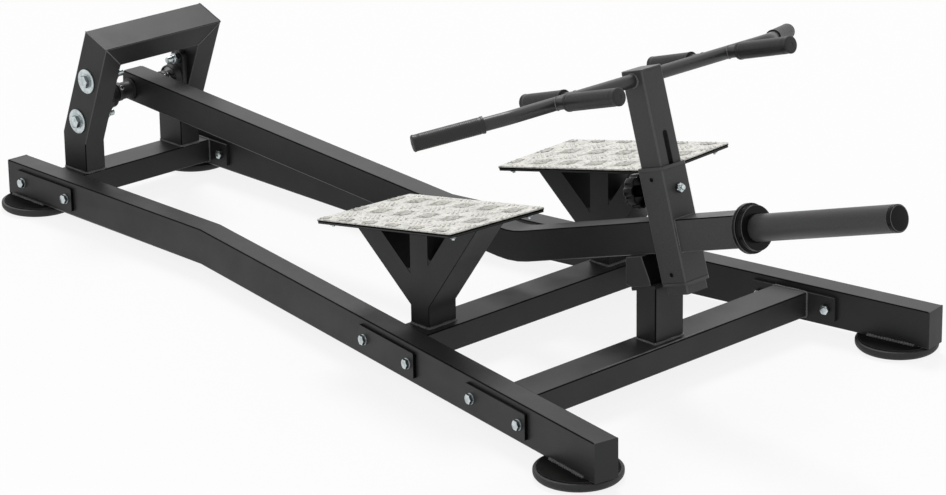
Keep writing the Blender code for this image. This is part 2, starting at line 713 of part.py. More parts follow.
def build_bearing_bolts(word, side, machine, steel):
    """Bolts with broad washers through an upright, and lock nuts on the housing's ears."""
    head_seat = ARCH_OUTER_FACE + SEAT
    nut_seat = ARCH_INNER_FACE - 2 * SEAT - HOUSING_FLANGE
    tip = [
        (BEARING_BOLT_RADIUS, LOCK_COLLAR_HEIGHT + BEARING_BOLT_TAIL),
        (BEARING_BOLT_RADIUS, LOCK_COLLAR_HEIGHT),
        (LOCK_COLLAR_RADIUS, LOCK_COLLAR_HEIGHT),
        (LOCK_COLLAR_RADIUS, 0),
    ]
    for end, place in bearing_bolt_places(side):
        body = bmesh.new()
        add_fastener(body, Matrix(), BEARING_BOLT_RADIUS, head_seat, BIG_WASHER_RADIUS, BIG_WASHER_THICKNESS,
                     BEARING_BOLT_FLATS, BEARING_BOLT_HEAD, nut_seat,
                     BEARING_NUT_FLATS, BEARING_NUT_HEIGHT, tip)
        piece("bearing_bolt_" + end + "_" + word, body, steel, machine, place)


def lever_bend_points():
    """Centreline of the bend between the lever's rear run and its rising head."""
    turn = LEVER_REST_SLOPE + HEAD_RISE_ANGLE
    tangent = LEVER_BEND_RADIUS * math.tan(turn / 2)
    start = LEVER_BEND - tangent * LEVER_DIRECTION
    centre = start + LEVER_BEND_RADIUS * LEVER_UP
    points = []
    steps = 3
    for step in range(steps + 1):
        angle = turn * step / steps
        spoke = math.sin(angle) * LEVER_DIRECTION - math.cos(angle) * LEVER_UP
        points.append(centre + LEVER_BEND_RADIUS * spoke)
    return points


def build_lever(pivot, head, paint, plastic, steel):
    """The lever's bent tube up to the receiver, its stub beyond, its rear cap and its shaft."""
    profiles = tube_profiles(LEVER_WIDTH, LEVER_HEIGHT, LEVER_CORNER, LEVER_WALL)
    sideways = tube_profiles(LEVER_HEIGHT, LEVER_WIDTH, LEVER_CORNER, LEVER_WALL)
    rear = LEVER_RAISE * LEVER_UP - (LEVER_TAIL - CAP_FLANGE) * LEVER_DIRECTION
    butt = HEAD_REACH - RECEIVER_WIDTH / 2 - SEAT
    front = LEVER_BEND + butt * HEAD_DIRECTION
    body = bmesh.new()
    path = [rear + SEAT * LEVER_DIRECTION, *lever_bend_points(), front]
    add_tube(body, sideways, path, Y_AXIS)
    lever = piece("lever_arm", body, paint, pivot)
    across = aimed(Vector(), X_AXIS, Y_AXIS)
    boss, hole = bmesh.new(), bmesh.new()
    boss_end = ARCH_INNER_FACE - 2 * SEAT - INNER_RING_START - INNER_RING_WIDTH
    levels = [(SHAFT_BOSS_RADIUS, -boss_end), (SHAFT_BOSS_RADIUS, boss_end)]
    add_turned(boss, levels, ROD_FACETS, matrix=across)
    cut_with(lever, boss, "UNION")
    radius = SHAFT_RADIUS + SHAFT_CLEARANCE
    add_turned(hole, [(radius, -2 * boss_end), (radius, 2 * boss_end)], ROD_FACETS, matrix=across)
    cut_with(lever, hole)

    cap = bmesh.new()
    flange, plug = tube_profiles(LEVER_HEIGHT, LEVER_WIDTH, LEVER_CORNER, LEVER_WALL + SEAT)
    depth = LEVER_TAIL - CAP_FLANGE - SHAFT_BOSS_RADIUS - CAP_BOSS_GAP
    rings = [(plug, -depth), (plug, 0), (flange, 0), (flange, CAP_FLANGE)]
    add_rings(cap, [[Vector((x, y, z)) for x, y in ring] for ring, z in rings])
    piece("lever_rear_cap", cap, plastic, pivot, aimed(rear, LEVER_UP, -LEVER_DIRECTION))

    stub = bmesh.new()
    level = -HEAD_HEIGHT
    start = Vector((RECEIVER_WIDTH / 2 + SEAT, 0, level))
    end = Vector((COLLAR_START - SEAT, 0, level))
    add_tube(stub, sideways, [start, end], Y_AXIS)
    piece("lever_front_stub", stub, paint, head)

    shaft = bmesh.new()
    reach = ARCH_INNER_FACE - SHAFT_END_GAP
    levels = [
        (SHAFT_RADIUS - SHAFT_CHAMFER, -reach),
        (SHAFT_RADIUS, SHAFT_CHAMFER - reach),
        (SHAFT_RADIUS, reach - SHAFT_CHAMFER),
        (SHAFT_RADIUS - SHAFT_CHAMFER, reach),
    ]
    add_turned(shaft, levels, ROD_FACETS, matrix=across)
    piece("pivot_shaft", shaft, steel, pivot)


def screw_frame(height, side):
    return aimed(Vector((0, side * RECEIVER_WIDTH / 2, height)), Z_AXIS, Vector((0, side, 0)))


def build_receiver(head, paint, plastic):
    """The square tube across the lever's head, and bushings that hold their own screws."""
    profiles = tube_profiles(RECEIVER_WIDTH, RECEIVER_WIDTH, RECEIVER_CORNER, RECEIVER_WALL)
    body = bmesh.new()
    add_tube(body, profiles, [Vector((0, 0, RECEIVER_BOTTOM)), Vector((0, 0, RECEIVER_TOP))], Y_AXIS)
    receiver = piece("receiver", body, paint, head)
    holes = bmesh.new()
    bolt_hole = drilled(CLAMP_BOLT_RADIUS)
    through = aimed(Vector((0, 0, CLAMP_HEIGHT)), Y_AXIS, X_AXIS)
    add_turned(holes, [(bolt_hole, -RECEIVER_WIDTH), (bolt_hole, RECEIVER_WIDTH)], HOLE_FACETS, matrix=through)
    screw_hole = BUSHING_SCREW_RADIUS + SEAT
    depth = RECEIVER_WALL * 2
    for height in (RECEIVER_TOP - BUSHING_SCREW_INSET, RECEIVER_BOTTOM + BUSHING_SCREW_INSET):
        for _, side in SIDES:
            spot = screw_frame(height, side)
            add_turned(holes, [(screw_hole, -depth), (screw_hole, depth)], HOLE_FACETS, matrix=spot)
    cut_with(receiver, holes)

    inner = RECEIVER_WIDTH - 2 * RECEIVER_WALL - 2 * SEAT
    bore = MAST_WIDTH + 2 * SLIDE_CLEARANCE
    lip = RECEIVER_WIDTH + 2 * BUSHING_OVERHANG
    bore_corner = MAST_CORNER + SLIDE_CLEARANCE
    screw_levels = [
        (BUSHING_SCREW_RADIUS, -RECEIVER_WALL - 3 * SEAT),
        (BUSHING_SCREW_RADIUS, SEAT),
        (BUSHING_SCREW_HEAD, SEAT),
        (BUSHING_SCREW_HEAD * 0.8, SEAT + BUSHING_SCREW_RISE),
    ]
    for word, mouth, out in (("top", RECEIVER_TOP, 1), ("bottom", RECEIVER_BOTTOM, -1)):
        seat = mouth + out * SEAT
        rings = [
            (bore, bore_corner, seat - out * BUSHING_DEPTH),
            (inner, RECEIVER_CORNER - RECEIVER_WALL, seat - out * BUSHING_DEPTH),
            (inner, RECEIVER_CORNER - RECEIVER_WALL, seat),
            (lip, RECEIVER_CORNER, seat),
            (lip, RECEIVER_CORNER, seat + out * BUSHING_FLANGE),
            (bore, bore_corner, seat + out * BUSHING_FLANGE),
        ]
        body = bmesh.new()
        outlines = [(rounded_rectangle(w, w, r), z) for w, r, z in rings]
        add_rings(body, [[Vector((x, y, z)) for x, y in outline] for outline, z in outlines], looped=True)
        bushing = piece("receiver_bushing_" + word, body, plastic, head)
        screws = bmesh.new()
        for _, side in SIDES:
            spot = screw_frame(mouth - out * BUSHING_SCREW_INSET, side)
            add_turned(screws, screw_levels, HOLE_FACETS, matrix=spot)
        cut_with(bushing, screws, "UNION")


def build_sleeve(head, paint, plastic):
    """The collar that stops the plates, the tube that carries them and its end cap."""
    axis = aimed(Vector((0, 0, -HEAD_HEIGHT)), Y_AXIS, X_AXIS)
    bore = SLEEVE_RADIUS + SEAT
    step = COLLAR_START + COLLAR_FLANGE_THICKNESS
    front = COLLAR_START + COLLAR_LENGTH
    collar = bmesh.new()
    levels = [
        (bore, COLLAR_START),
        (COLLAR_FLANGE_RADIUS, COLLAR_START),
        (COLLAR_FLANGE_RADIUS, step),
        (COLLAR_RING_RADIUS, step),
        (COLLAR_RING_RADIUS, front - COLLAR_ROUND),
        (COLLAR_RING_RADIUS - COLLAR_ROUND, front),
        (bore, front),
    ]
    add_turned(collar, levels, DISC_FACETS, bore=True)
    piece("sleeve_collar", collar, paint, head, axis)

    tube = bmesh.new()
    start = COLLAR_START + SEAT
    end = SLEEVE_END - SLEEVE_CAP_LENGTH - SEAT
    inner = SLEEVE_RADIUS - SLEEVE_WALL
    levels = [(inner, start), (SLEEVE_RADIUS, start), (SLEEVE_RADIUS, end), (inner, end)]
    add_turned(tube, levels, DISC_FACETS, bore=True)
    piece("weight_sleeve", tube, paint, head, axis)

    cap = bmesh.new()
    plug = inner - SEAT
    seat = SLEEVE_END - SLEEVE_CAP_LENGTH
    levels = [
        (plug, seat - SLEEVE_CAP_PLUG),
        (plug, seat),
        (SLEEVE_RADIUS, seat),
        (SLEEVE_RADIUS, SLEEVE_END - COLLAR_ROUND),
        (SLEEVE_RADIUS - COLLAR_ROUND, SLEEVE_END),
    ]
    add_turned(cap, levels, DISC_FACETS)
    piece("sleeve_end_cap", cap, plastic, head, axis)


def build_mast(mast, paint, plastic):
    """The square mast, slotted for the clamp bolt and drilled for the handlebar."""
    profiles = tube_profiles(MAST_WIDTH, MAST_WIDTH, MAST_CORNER, MAST_WALL)
    body = bmesh.new()
    top = MAST_TOP - CAP_FLANGE
    add_tube(body, profiles, [Vector((0, 0, MAST_BOTTOM)), Vector((0, 0, top - SEAT))], Y_AXIS)
    tube = piece("mast", body, paint, mast)
    cuts = bmesh.new()
    slot = rounded_rectangle(SLOT_TOP - SLOT_BOTTOM, SLOT_WIDTH, SLOT_WIDTH * 0.499, 3)
    middle = Vector((0, 0, (SLOT_TOP + SLOT_BOTTOM) / 2))
    add_prism(cuts, slot, -MAST_WIDTH, MAST_WIDTH, aimed(middle, Z_AXIS, X_AXIS))
    bar_hole = BAR_RADIUS + SEAT
    across = aimed(Vector((0, 0, BAR_HEIGHT)), X_AXIS, Y_AXIS)
    add_turned(cuts, [(bar_hole, -MAST_WIDTH), (bar_hole, MAST_WIDTH)], ROD_FACETS, matrix=across)
    cut_with(tube, cuts)

    cap = bmesh.new()
    outer, inner = tube_profiles(MAST_WIDTH, MAST_WIDTH, MAST_CORNER, MAST_WALL + SEAT)
    rim_width = MAST_WIDTH + 2 * MAST_CAP_OVERHANG
    rim = rounded_rectangle(rim_width, rim_width, MAST_CORNER)
    plug_end = BAR_HEIGHT + BAR_RADIUS + SEAT
    rings = [(inner, plug_end), (inner, top), (rim, top), (rim, MAST_TOP - 0.001), (outer, MAST_TOP)]
    add_rings(cap, [[Vector((x, y, z)) for x, y in ring] for ring, z in rings])
    piece("mast_cap", cap, plastic, mast)


def swept_end(side):
    """Direction of one swept end of the handlebar."""
    level = math.cos(BAR_DROOP)
    return Vector((-math.sin(BAR_SWEEP) * level, side * math.cos(BAR_SWEEP) * level, -math.sin(BAR_DROOP)))


def bar_bend_points(side):
    """Centreline points of one bend of the handlebar, from the middle outwards."""
    corner = Vector((0, side * BAR_BEND_OFFSET, 0))
    inwards = Vector((0, -side, 0))
    outwards = swept_end(side)
    turn = math.pi - inwards.angle(outwards)
    tangent = BAR_BEND_RADIUS * math.tan(turn / 2)
    bisector = (inwards + outwards).normalized()
    centre = corner + bisector * BAR_BEND_RADIUS / math.cos(turn / 2)
    points = []
    steps = 3
    for step in range(steps + 1):
        angle = turn * (step / steps - 0.5)
        along = (outwards - inwards).normalized()
        points.append(centre + BAR_BEND_RADIUS * (math.sin(angle) * along - math.cos(angle) * bisector))
    assert abs((points[0] - corner).length - tangent) < SEAT
    return points


def build_handlebar(mast, paint, rubber):
    """The bar through the mast, four short bars square to it, and a grip on each end."""
    height = Vector((0, 0, BAR_HEIGHT))
    half = {}
    for _, side in SIDES:
        corner = Vector((0, side * BAR_BEND_OFFSET, 0))
        half[side] = [*bar_bend_points(side), corner + (BAR_SWEPT_RUN - GRIP_END) * swept_end(side)]
    path = [height + point for point in half[-1][::-1] + half[1]]
    body = bmesh.new()
    profiles = (circle(BAR_RADIUS, ROD_FACETS), circle(BAR_RADIUS - BAR_WALL, ROD_FACETS))
    add_tube(body, profiles, path, Z_AXIS)
    bar = piece("handlebar", body, paint, mast)

    for word, side in SIDES:
        tip = height + Vector((0, side * BAR_BEND_OFFSET, 0)) + BAR_SWEPT_RUN * swept_end(side)
        place = aimed(tip, Z_AXIS, swept_end(side))
        build_grip("bar_grip_" + word, place, BAR_RADIUS, GRIP_RADIUS, GRIP_LENGTH, mast, rubber)

    stubs, bites = bmesh.new(), bmesh.new()
    wall = NEUTRAL_BAR_RADIUS - BAR_WALL
    saddle = BAR_RADIUS - BAR_WALL / 2
    for end, reach, offset in ((1, NEUTRAL_FRONT_REACH, NEUTRAL_FRONT_OFFSET),
                               (-1, NEUTRAL_REAR_REACH, NEUTRAL_REAR_OFFSET)):
        for word, side in SIDES:
            root = height + Vector((0, side * offset, 0))
            out = aimed(root, Z_AXIS, Vector((end, 0, 0)))
            stop = reach - GRIP_END
            levels = [
                (wall, BAR_WALL),
                (NEUTRAL_BAR_RADIUS, BAR_WALL),
                (NEUTRAL_BAR_RADIUS, stop),
                (wall, stop),
            ]
            add_turned(stubs, levels, BOLT_FACETS, bore=True, matrix=out)
            bite = aimed(root, Z_AXIS, Y_AXIS)
            add_turned(bites, [(saddle, -2 * BAR_RADIUS), (saddle, 2 * BAR_RADIUS)], RING_FACETS, matrix=bite)
            name = "neutral_grip_" + ("front_" if end > 0 else "rear_") + word
            tip = out @ Matrix.Translation((0, 0, reach))
            length = reach - NEUTRAL_GRIP_START
            build_grip(name, tip, NEUTRAL_BAR_RADIUS, NEUTRAL_GRIP_RADIUS, length, mast, rubber)
    coped = cut_with(bar, stubs, "UNION")
    cut_with(coped, bites)


def build_grip(name, tip, tube_radius, radius, length, mast, rubber):
    """A rubber grip, closed at its tip, which is the frame's origin; the tip faces local Z."""
    bore = tube_radius + SEAT
    levels = [
        (bore, SEAT - GRIP_END),
        (bore, -length),
        (radius + GRIP_RIM, -length),
        (radius + GRIP_RIM, GRIP_RIM_WIDTH - length),
        (radius, GRIP_RIM_WIDTH - length),
        (radius, -GRIP_END),
        (radius + GRIP_RIM, -GRIP_END),
        (radius + GRIP_RIM, 0),
    ]
    body = bmesh.new()
    add_turned(body, levels, ROD_FACETS)
    piece(name, body, rubber, mast, tip)


def knob_reach(inset):
    """Outline of the star knob, drawn in by an inset."""
    def reach(angle):
        return KNOB_RADIUS - inset - KNOB_LOBE * (1 - math.cos(KNOB_LOBES * angle))
    return reach


def build_clamp(clamp, plastic, steel):
    """Star knob behind the receiver, its bolt through the mast, a nut and a split pin in front."""
    face = RECEIVER_WIDTH / 2 + SEAT
    backwards = aimed(Vector(), Z_AXIS, -X_AXIS)
    forwards = aimed(Vector(), Z_AXIS, X_AXIS)
    rim = face + KNOB_HUB_LENGTH
    back = rim + KNOB_THICKNESS
    socket = back - KNOB_SHELL * 2
    bore = CLAMP_BOLT_RADIUS + SEAT
    knob = bmesh.new()
    levels = [
        (bore, socket),
        (bore, face),
        (KNOB_HUB_RADIUS, face),
        (KNOB_HUB_RADIUS, socket),
        (knob_reach(KNOB_SHELL), socket),
        (knob_reach(KNOB_SHELL), rim),
        (knob_reach(0), rim),
        (knob_reach(0), back - KNOB_SHELL),
        (knob_reach(KNOB_SHELL), back),
    ]
    add_turned(knob, levels, KNOB_FACETS)
    piece("clamp_knob", knob, plastic, clamp, backwards)

    nut_end = face + CLAMP_NUT_HEIGHT
    tip = nut_end + CLAMP_BOLT_TAIL
    bolt = bmesh.new()
    levels = [
        (CLAMP_BOLT_RADIUS, SEAT - socket),
        (CLAMP_BOLT_RADIUS, tip - SHAFT_CHAMFER),
        (CLAMP_BOLT_RADIUS - SHAFT_CHAMFER, tip),
    ]
    add_turned(bolt, levels, BOLT_FACETS)
    stem = piece("clamp_bolt", bolt, steel, clamp, forwards)
    pin_place = nut_end + SEAT + SPLIT_PIN_RADIUS * 2
    cross = aimed(Vector((0, 0, pin_place)), Z_AXIS, Y_AXIS)
    hole = bmesh.new()
    radius = SPLIT_PIN_RADIUS + SEAT
    ends = [(radius, -2 * CLAMP_BOLT_RADIUS), (radius, 2 * CLAMP_BOLT_RADIUS)]
    add_turned(hole, ends, HOLE_FACETS, matrix=cross)
    cut_with(stem, hole)

    nut = bmesh.new()
    nut_bore = CLAMP_BOLT_RADIUS + SHAFT_CLEARANCE
    levels = [
        (nut_bore, face),
        (hexagon(CLAMP_NUT_FLATS), face),
        (hexagon(CLAMP_NUT_FLATS), nut_end),
        (nut_bore, nut_end),
    ]
    add_turned(nut, levels, BOLT_FACETS, bore=True)
    piece("clamp_nut", nut, steel, clamp, forwards)

    side = CLAMP_BOLT_RADIUS + SPLIT_PIN_RADIUS * 2
    spread = Vector((math.sin(SPLIT_PIN_SPREAD), 0, math.cos(SPLIT_PIN_SPREAD)))
    path = [Vector((0, 0, -side)), Vector((0, 0, side)), Vector((0, 0, side)) + SPLIT_PIN_LEG * spread]
    pin = bmesh.new()
    add_rings(pin, swept_rings(circle(SPLIT_PIN_RADIUS, 8), path, Y_AXIS))
    place = forwards @ aimed(Vector((0, 0, pin_place)), Z_AXIS, Y_AXIS)
    piece("split_pin", pin, steel, clamp, place)


def build_post(machine, rest, paint, rubber):
    """The post on the front crossbar, with its slanted top plate, and the lever's bumper."""
    profiles = tube_profiles(POST_DEPTH, POST_WIDTH, CROSSBAR_CORNER, POST_WALL)
    crown = PIVOT + HEAD + (POST_TOP + STOP_PLATE_THICKNESS / 2) * HEAD_UP
    top = crown.z - (POST_X - crown.x) * HEAD_UP.x / HEAD_UP.z
    body = bmesh.new()
    path = [Vector((POST_X, 0, CROSSBAR_TOP + SEAT)), Vector((POST_X, 0, top))]
    add_tube(body, profiles, path, Y_AXIS, end_plane=HEAD_UP)
    post = piece("front_post", body, paint, machine)

    plate = bmesh.new()
    middle = (STOP_PLATE_FRONT + STOP_PLATE_REAR) / 2
    length = STOP_PLATE_FRONT - STOP_PLATE_REAR
    plate_top = POST_TOP + STOP_PLATE_THICKNESS
    outline = [(middle + u, v) for u, v in rounded_rectangle(length, POST_WIDTH, 0.002)]
    add_prism(plate, outline, POST_TOP, plate_top, rest)
    cut_with(post, plate, "UNION")

    foot = plate_top + SEAT
    crest = LEVER_UNDERSIDE - SEAT
    outline = [
        (BUMPER_TOP_FRONT, crest),
        (BUMPER_TOP_REAR, crest),
        (BUMPER_HEEL, foot + BUMPER_HEEL_HEIGHT),
        (STOP_PLATE_REAR, foot),
        (BUMPER_FRONT, foot),
        (BUMPER_FRONT, foot + BUMPER_NOSE),
    ]
    bumper = bmesh.new()
    half = POST_WIDTH / 2
    add_rings(bumper, [[Vector((x, y, z)) for x, z in outline] for y in (-half, half)])
    piece("stop_bumper", bumper, rubber, machine, rest)


def footplate_frame(side):
    """Frame of a footplate: local X forwards, local Z square to its top face."""
    centre = Matrix.Translation((FOOTPLATE_X, side * FOOTPLATE_OFFSET, FOOTPLATE_TOP))
    yaw = Matrix.Rotation(side * FOOTPLATE_YAW, 4, "Z")
    pitch = Matrix.Rotation(-FOOTPLATE_PITCH, 4, "Y")
    return centre @ yaw @ pitch


def support_outline(half, foot, y, plane_point, plane_normal):
    """Outline in X and Z, at one y, of a stem with a middle, a rear and a front prong.

    half is half the width of each tube, and the prongs end on the given plane.
    """
    stem_x = MIDDLE_CROSSBAR_X - SUPPORT_SETBACK

    def prong_edges(lean, foot_z, way):
        run = Vector((way * math.sin(lean), 0, math.cos(lean)))
        inwards = Vector((-way * math.cos(lean), 0, math.sin(lean)))
        outer_corner = Vector((stem_x + way * SUPPORT_DEPTH / 2, y, foot_z))
        axis = outer_corner + SUPPORT_DEPTH / 2 * inwards
        edges = []
        for offset in (-half, half):
            start = axis + offset * inwards
            to_stem = (stem_x + way * half - start.x) / run.x
            to_plate = (plane_point - start).dot(plane_normal) / run.dot(plane_normal)
            edges.append((start + to_stem * run, start + to_plate * run))
        return edges

    def stem_top(x):
        start = Vector((x, y, 0))
        return start + Z_AXIS * ((plane_point - start).dot(plane_normal) / plane_normal.z)

    rear_low, rear_high = prong_edges(REAR_PRONG_LEAN, REAR_PRONG_FOOT, -1)
    front_low, front_high = prong_edges(FRONT_PRONG_LEAN, FRONT_PRONG_FOOT, 1)
    return [
        Vector((stem_x - half, y, foot)),
        rear_low[0], rear_low[1], rear_high[1], rear_high[0],
        stem_top(stem_x - half), stem_top(stem_x + half),
        front_high[0], front_high[1], front_low[1], front_low[0],
        Vector((stem_x + half, y, foot)),
    ]


def build_footplate(word, side, machine, tread_metal):
    """A tread that carries the four studs and nuts which hold it on its base plate."""
    radius = FOOTPLATE_BOLT_RADIUS
    nut_end = FOOTPLATE_NUT_SEAT - FOOTPLATE_NUT_HEIGHT
    body, studs = bmesh.new(), bmesh.new()
    outline = rounded_rectangle(FOOTPLATE_LENGTH, FOOTPLATE_WIDTH, FOOTPLATE_CORNER, 1)
    add_prism(body, outline, -TREAD_THICKNESS, 0)
    levels = [
        (radius, nut_end - FOOTPLATE_STUD_TAIL),
        (radius, nut_end),
        (hexagon(FOOTPLATE_NUT_FLATS), nut_end),
        (hexagon(FOOTPLATE_NUT_FLATS), FOOTPLATE_NUT_SEAT),
        (radius, FOOTPLATE_NUT_SEAT),
        (radius, -TREAD_THICKNESS / 2),
    ]
    for x, y in footplate_bolt_spots():
        add_turned(studs, levels, SMALL_BOLT_FACETS, matrix=Matrix.Translation((x, y, 0)))
    tread = piece("footplate_tread_" + word, body, tread_metal, machine, footplate_frame(side))
    cut_with(tread, studs, "UNION")


def footplate_bolt_spots():
    """Places of the four corner bolts in a footplate's own X and Y."""
    reach_x = FOOTPLATE_LENGTH / 2 - FOOTPLATE_BOLT_INSET_X
    reach_y = FOOTPLATE_WIDTH / 2 - FOOTPLATE_BOLT_INSET_Y
    return [(x * reach_x, y * reach_y) for x in (-1, 1) for y in (-1, 1)]


def build_support(word, side, machine, paint):
    """A three-pronged support, hollow and open at its foot, with the base plate on top."""
    place = footplate_frame(side)
    normal = place.to_3x3() @ Z_AXIS
    base_under = BASE_TOP - BASE_THICKNESS
    centre_y = side * SUPPORT_OFFSET
    foot = CROSSBAR_TOP + SEAT
    half = SUPPORT_DEPTH / 2
    spread = SUPPORT_WIDTH / 2
    body, hollow = bmesh.new(), bmesh.new()
    into_plate = place @ Vector((0, 0, base_under + BASE_THICKNESS / 2))
    outlines = [support_outline(half, foot, centre_y + y, into_plate, normal) for y in (-spread, spread)]
    add_rings(body, outlines)
    half -= SUPPORT_WALL
    spread -= SUPPORT_WALL
    foot -= SUPPORT_DEPTH
    below_plate = place @ Vector((0, 0, base_under - SEAT))
    outlines = [support_outline(half, foot, centre_y + y, below_plate, normal) for y in (-spread, spread)]
    add_rings(hollow, outlines)
    support = piece("footplate_support_" + word, body, paint, machine)

    base, holes = bmesh.new(), bmesh.new()
    outline = rounded_rectangle(FOOTPLATE_LENGTH, FOOTPLATE_WIDTH, FOOTPLATE_CORNER, 1)
    add_prism(base, outline, base_under, BASE_TOP, place)
    radius = drilled(FOOTPLATE_BOLT_RADIUS)
    for x, y in footplate_bolt_spots():
        spot = place @ Matrix.Translation((x, y, base_under))
        add_turned(holes, [(radius, -BASE_THICKNESS), (radius, 2 * BASE_THICKNESS)], HOLE_FACETS, matrix=spot)
    cut_with(support, base, "UNION")
    cut_with(support, hollow)
    cut_with(support, holes)


def main():
    clear_scene()
    paint = finish("powder_coated_steel", (0.018, 0.018, 0.02), 0.0, 0.45)
    iron = finish("painted_cast_iron", (0.02, 0.02, 0.022), 0.0, 0.6)
    steel = finish("zinc_plated_steel", (0.62, 0.63, 0.65), 1.0, 0.3)
    tread_metal = finish("tread_plate", (0.66, 0.65, 0.62), 1.0, 0.4)
    plastic = finish("black_plastic", (0.014, 0.014, 0.015), 0.0, 0.5)
    rubber = finish("black_rubber", (0.02, 0.02, 0.02), 0.0, 0.75)

    machine = carrier("machine", matrix=Matrix.Translation((-CENTRE_X, 0, 0)))
    pivot = carrier("lever_pivot_axis", machine, Matrix.Translation(PIVOT))
    head_matrix = aimed(HEAD, HEAD_DIRECTION, HEAD_UP)
    head = carrier("lever_head", pivot, head_matrix)
    mast = carrier("mast_slide_axis", head)
    clamp = carrier("clamp_axis", head, Matrix.Translation((0, 0, CLAMP_HEIGHT)))
    rest = Matrix.Translation(PIVOT) @ head_matrix

    build_rails(machine, paint)
    for word, x in CROSSBARS:
        build_crossbar(word + "_crossbar", x, machine, paint)
    build_foot_pads(machine, rubber)
    build_arch(machine, paint)
    for word, side in SIDES:
        for end, x in CROSSBARS:
            build_clamp_plate("clamp_plate_" + end + "_" + word, x, side, machine, paint)
        build_bearing(word, side, machine, pivot, iron, steel)
        build_bearing_bolts(word, side, machine, steel)
        build_support(word, side, machine, paint)
        build_footplate(word, side, machine, tread_metal)
    build_post(machine, rest, paint, rubber)
    build_lever(pivot, head, paint, plastic, steel)
    build_receiver(head, paint, plastic)
    build_sleeve(head, paint, plastic)
    build_mast(mast, paint, plastic)
    build_handlebar(mast, paint, rubber)
    build_clamp(clamp, plastic, steel)
    bpy.context.view_layer.update()


main()
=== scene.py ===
"""Looks of the T-bar row machine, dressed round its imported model.

Lengths are in metres in the model's own frame: +X runs from the pivot arch to the plate sleeve, +Y to
the machine's left and +Z up. Pieces that stand for a part of the model repeat its driving sizes.
"""
import json
import math

import bmesh
import bpy
from mathutils import Matrix, Vector


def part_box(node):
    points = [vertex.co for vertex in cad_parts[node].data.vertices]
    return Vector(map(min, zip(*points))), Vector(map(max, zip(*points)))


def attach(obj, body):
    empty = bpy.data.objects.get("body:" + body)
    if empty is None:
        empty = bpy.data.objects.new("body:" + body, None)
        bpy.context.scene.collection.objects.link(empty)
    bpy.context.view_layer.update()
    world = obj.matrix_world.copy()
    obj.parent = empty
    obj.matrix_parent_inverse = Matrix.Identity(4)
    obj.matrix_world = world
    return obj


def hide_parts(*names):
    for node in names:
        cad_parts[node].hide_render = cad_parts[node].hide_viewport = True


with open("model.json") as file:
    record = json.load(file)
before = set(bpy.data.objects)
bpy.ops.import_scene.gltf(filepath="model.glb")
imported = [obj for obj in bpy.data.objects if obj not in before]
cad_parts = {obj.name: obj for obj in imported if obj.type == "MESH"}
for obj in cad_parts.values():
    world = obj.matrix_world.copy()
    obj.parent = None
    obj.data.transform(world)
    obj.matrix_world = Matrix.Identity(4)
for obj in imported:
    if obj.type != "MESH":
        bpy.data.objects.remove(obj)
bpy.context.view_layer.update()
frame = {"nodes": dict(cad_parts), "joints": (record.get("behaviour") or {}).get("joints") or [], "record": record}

# Photograph's camera: its frame in pixels, its focal length and where its axis meets the picture
FRAME_WIDTH = 946
FRAME_HEIGHT = 495
FOCAL_PIXELS = 3410.39
AXIS_PIXEL = (561.01, 138.69)
SENSOR_WIDTH = 36.0
CAMERA_AZIMUTH = math.radians(45.13)
CAMERA_ELEVATION = math.radians(17.83)
CAMERA_ROLL = math.radians(-0.32)
CAMERA_TARGET = (-0.17839, 0.4887, 0.18705)
CAMERA_DISTANCE = 7.13491
CAMERA_FAR_LIMIT = 60

# Light: a soft lamp, the world on the object, and the share of the floor that shows as white
LAMP_DIRECTION = (0.50, -0.45, -1.0)
LAMP_STRENGTH = 1.7
LAMP_SPREAD = math.radians(20)
WORLD_STRENGTH = 0.45
FLOOR_TONE = 0.95
FLOOR_ROUGHNESS = 0.8
FLOOR_REACH = 30
FLOOR_DROP = 0.0005
FLOOR_GLOW_SHARE = 0.86

# Running gaps and the rounding of the visible edges
SEAT = 0.0003
EDGE_ROUND = 0.0009
SUPPORT_EDGE = 0.0011
PLASTIC_EDGE = 0.0006
BUMPER_EDGE = 0.0013
CLAMP_BOLT_EDGE = 0.0003
SPLIT_PIN_EDGE = 0.0002
SHARP_ANGLE = math.radians(38)
SOFT_ANGLE = math.radians(62)
HARD_ANGLE = math.radians(50)

# Turned solids without a bore close on this radius
CORE_RADIUS = 0.001

# Two-facet corners of the box tubes: how they are known, and how far they are drawn in
FACET_ANGLES = (math.radians(40), math.radians(50))
CORNER_SPAN = 0.009
CORNER_UNEVENNESS = 0.3
CORNER_SHARE = 0.42
CORNER_REACH = 1 + math.sqrt(2)
# Corner facets whose normal rises above this take the painted shade line, the others a painted highlight
LOOKS_UP = 0.3

# Weld beads
BEAD_STEP = 0.0021
BEAD_SIDES = 8
BEAD_RIPPLE = 0.26
BEAD_WAVES = (2.1, 0.37)
BEAD_END_TAPER = 0.3
BEAD_RADII = {"crossbar": 0.0022, "arch": 0.0030, "mitre": 0.0011, "foot": 0.0034, "painted_highlight_line": 0.0015,
              "post": 0.0030, "support": 0.0034, "receiver": 0.0014, "bar": 0.0022, "short_bar": 0.0015}

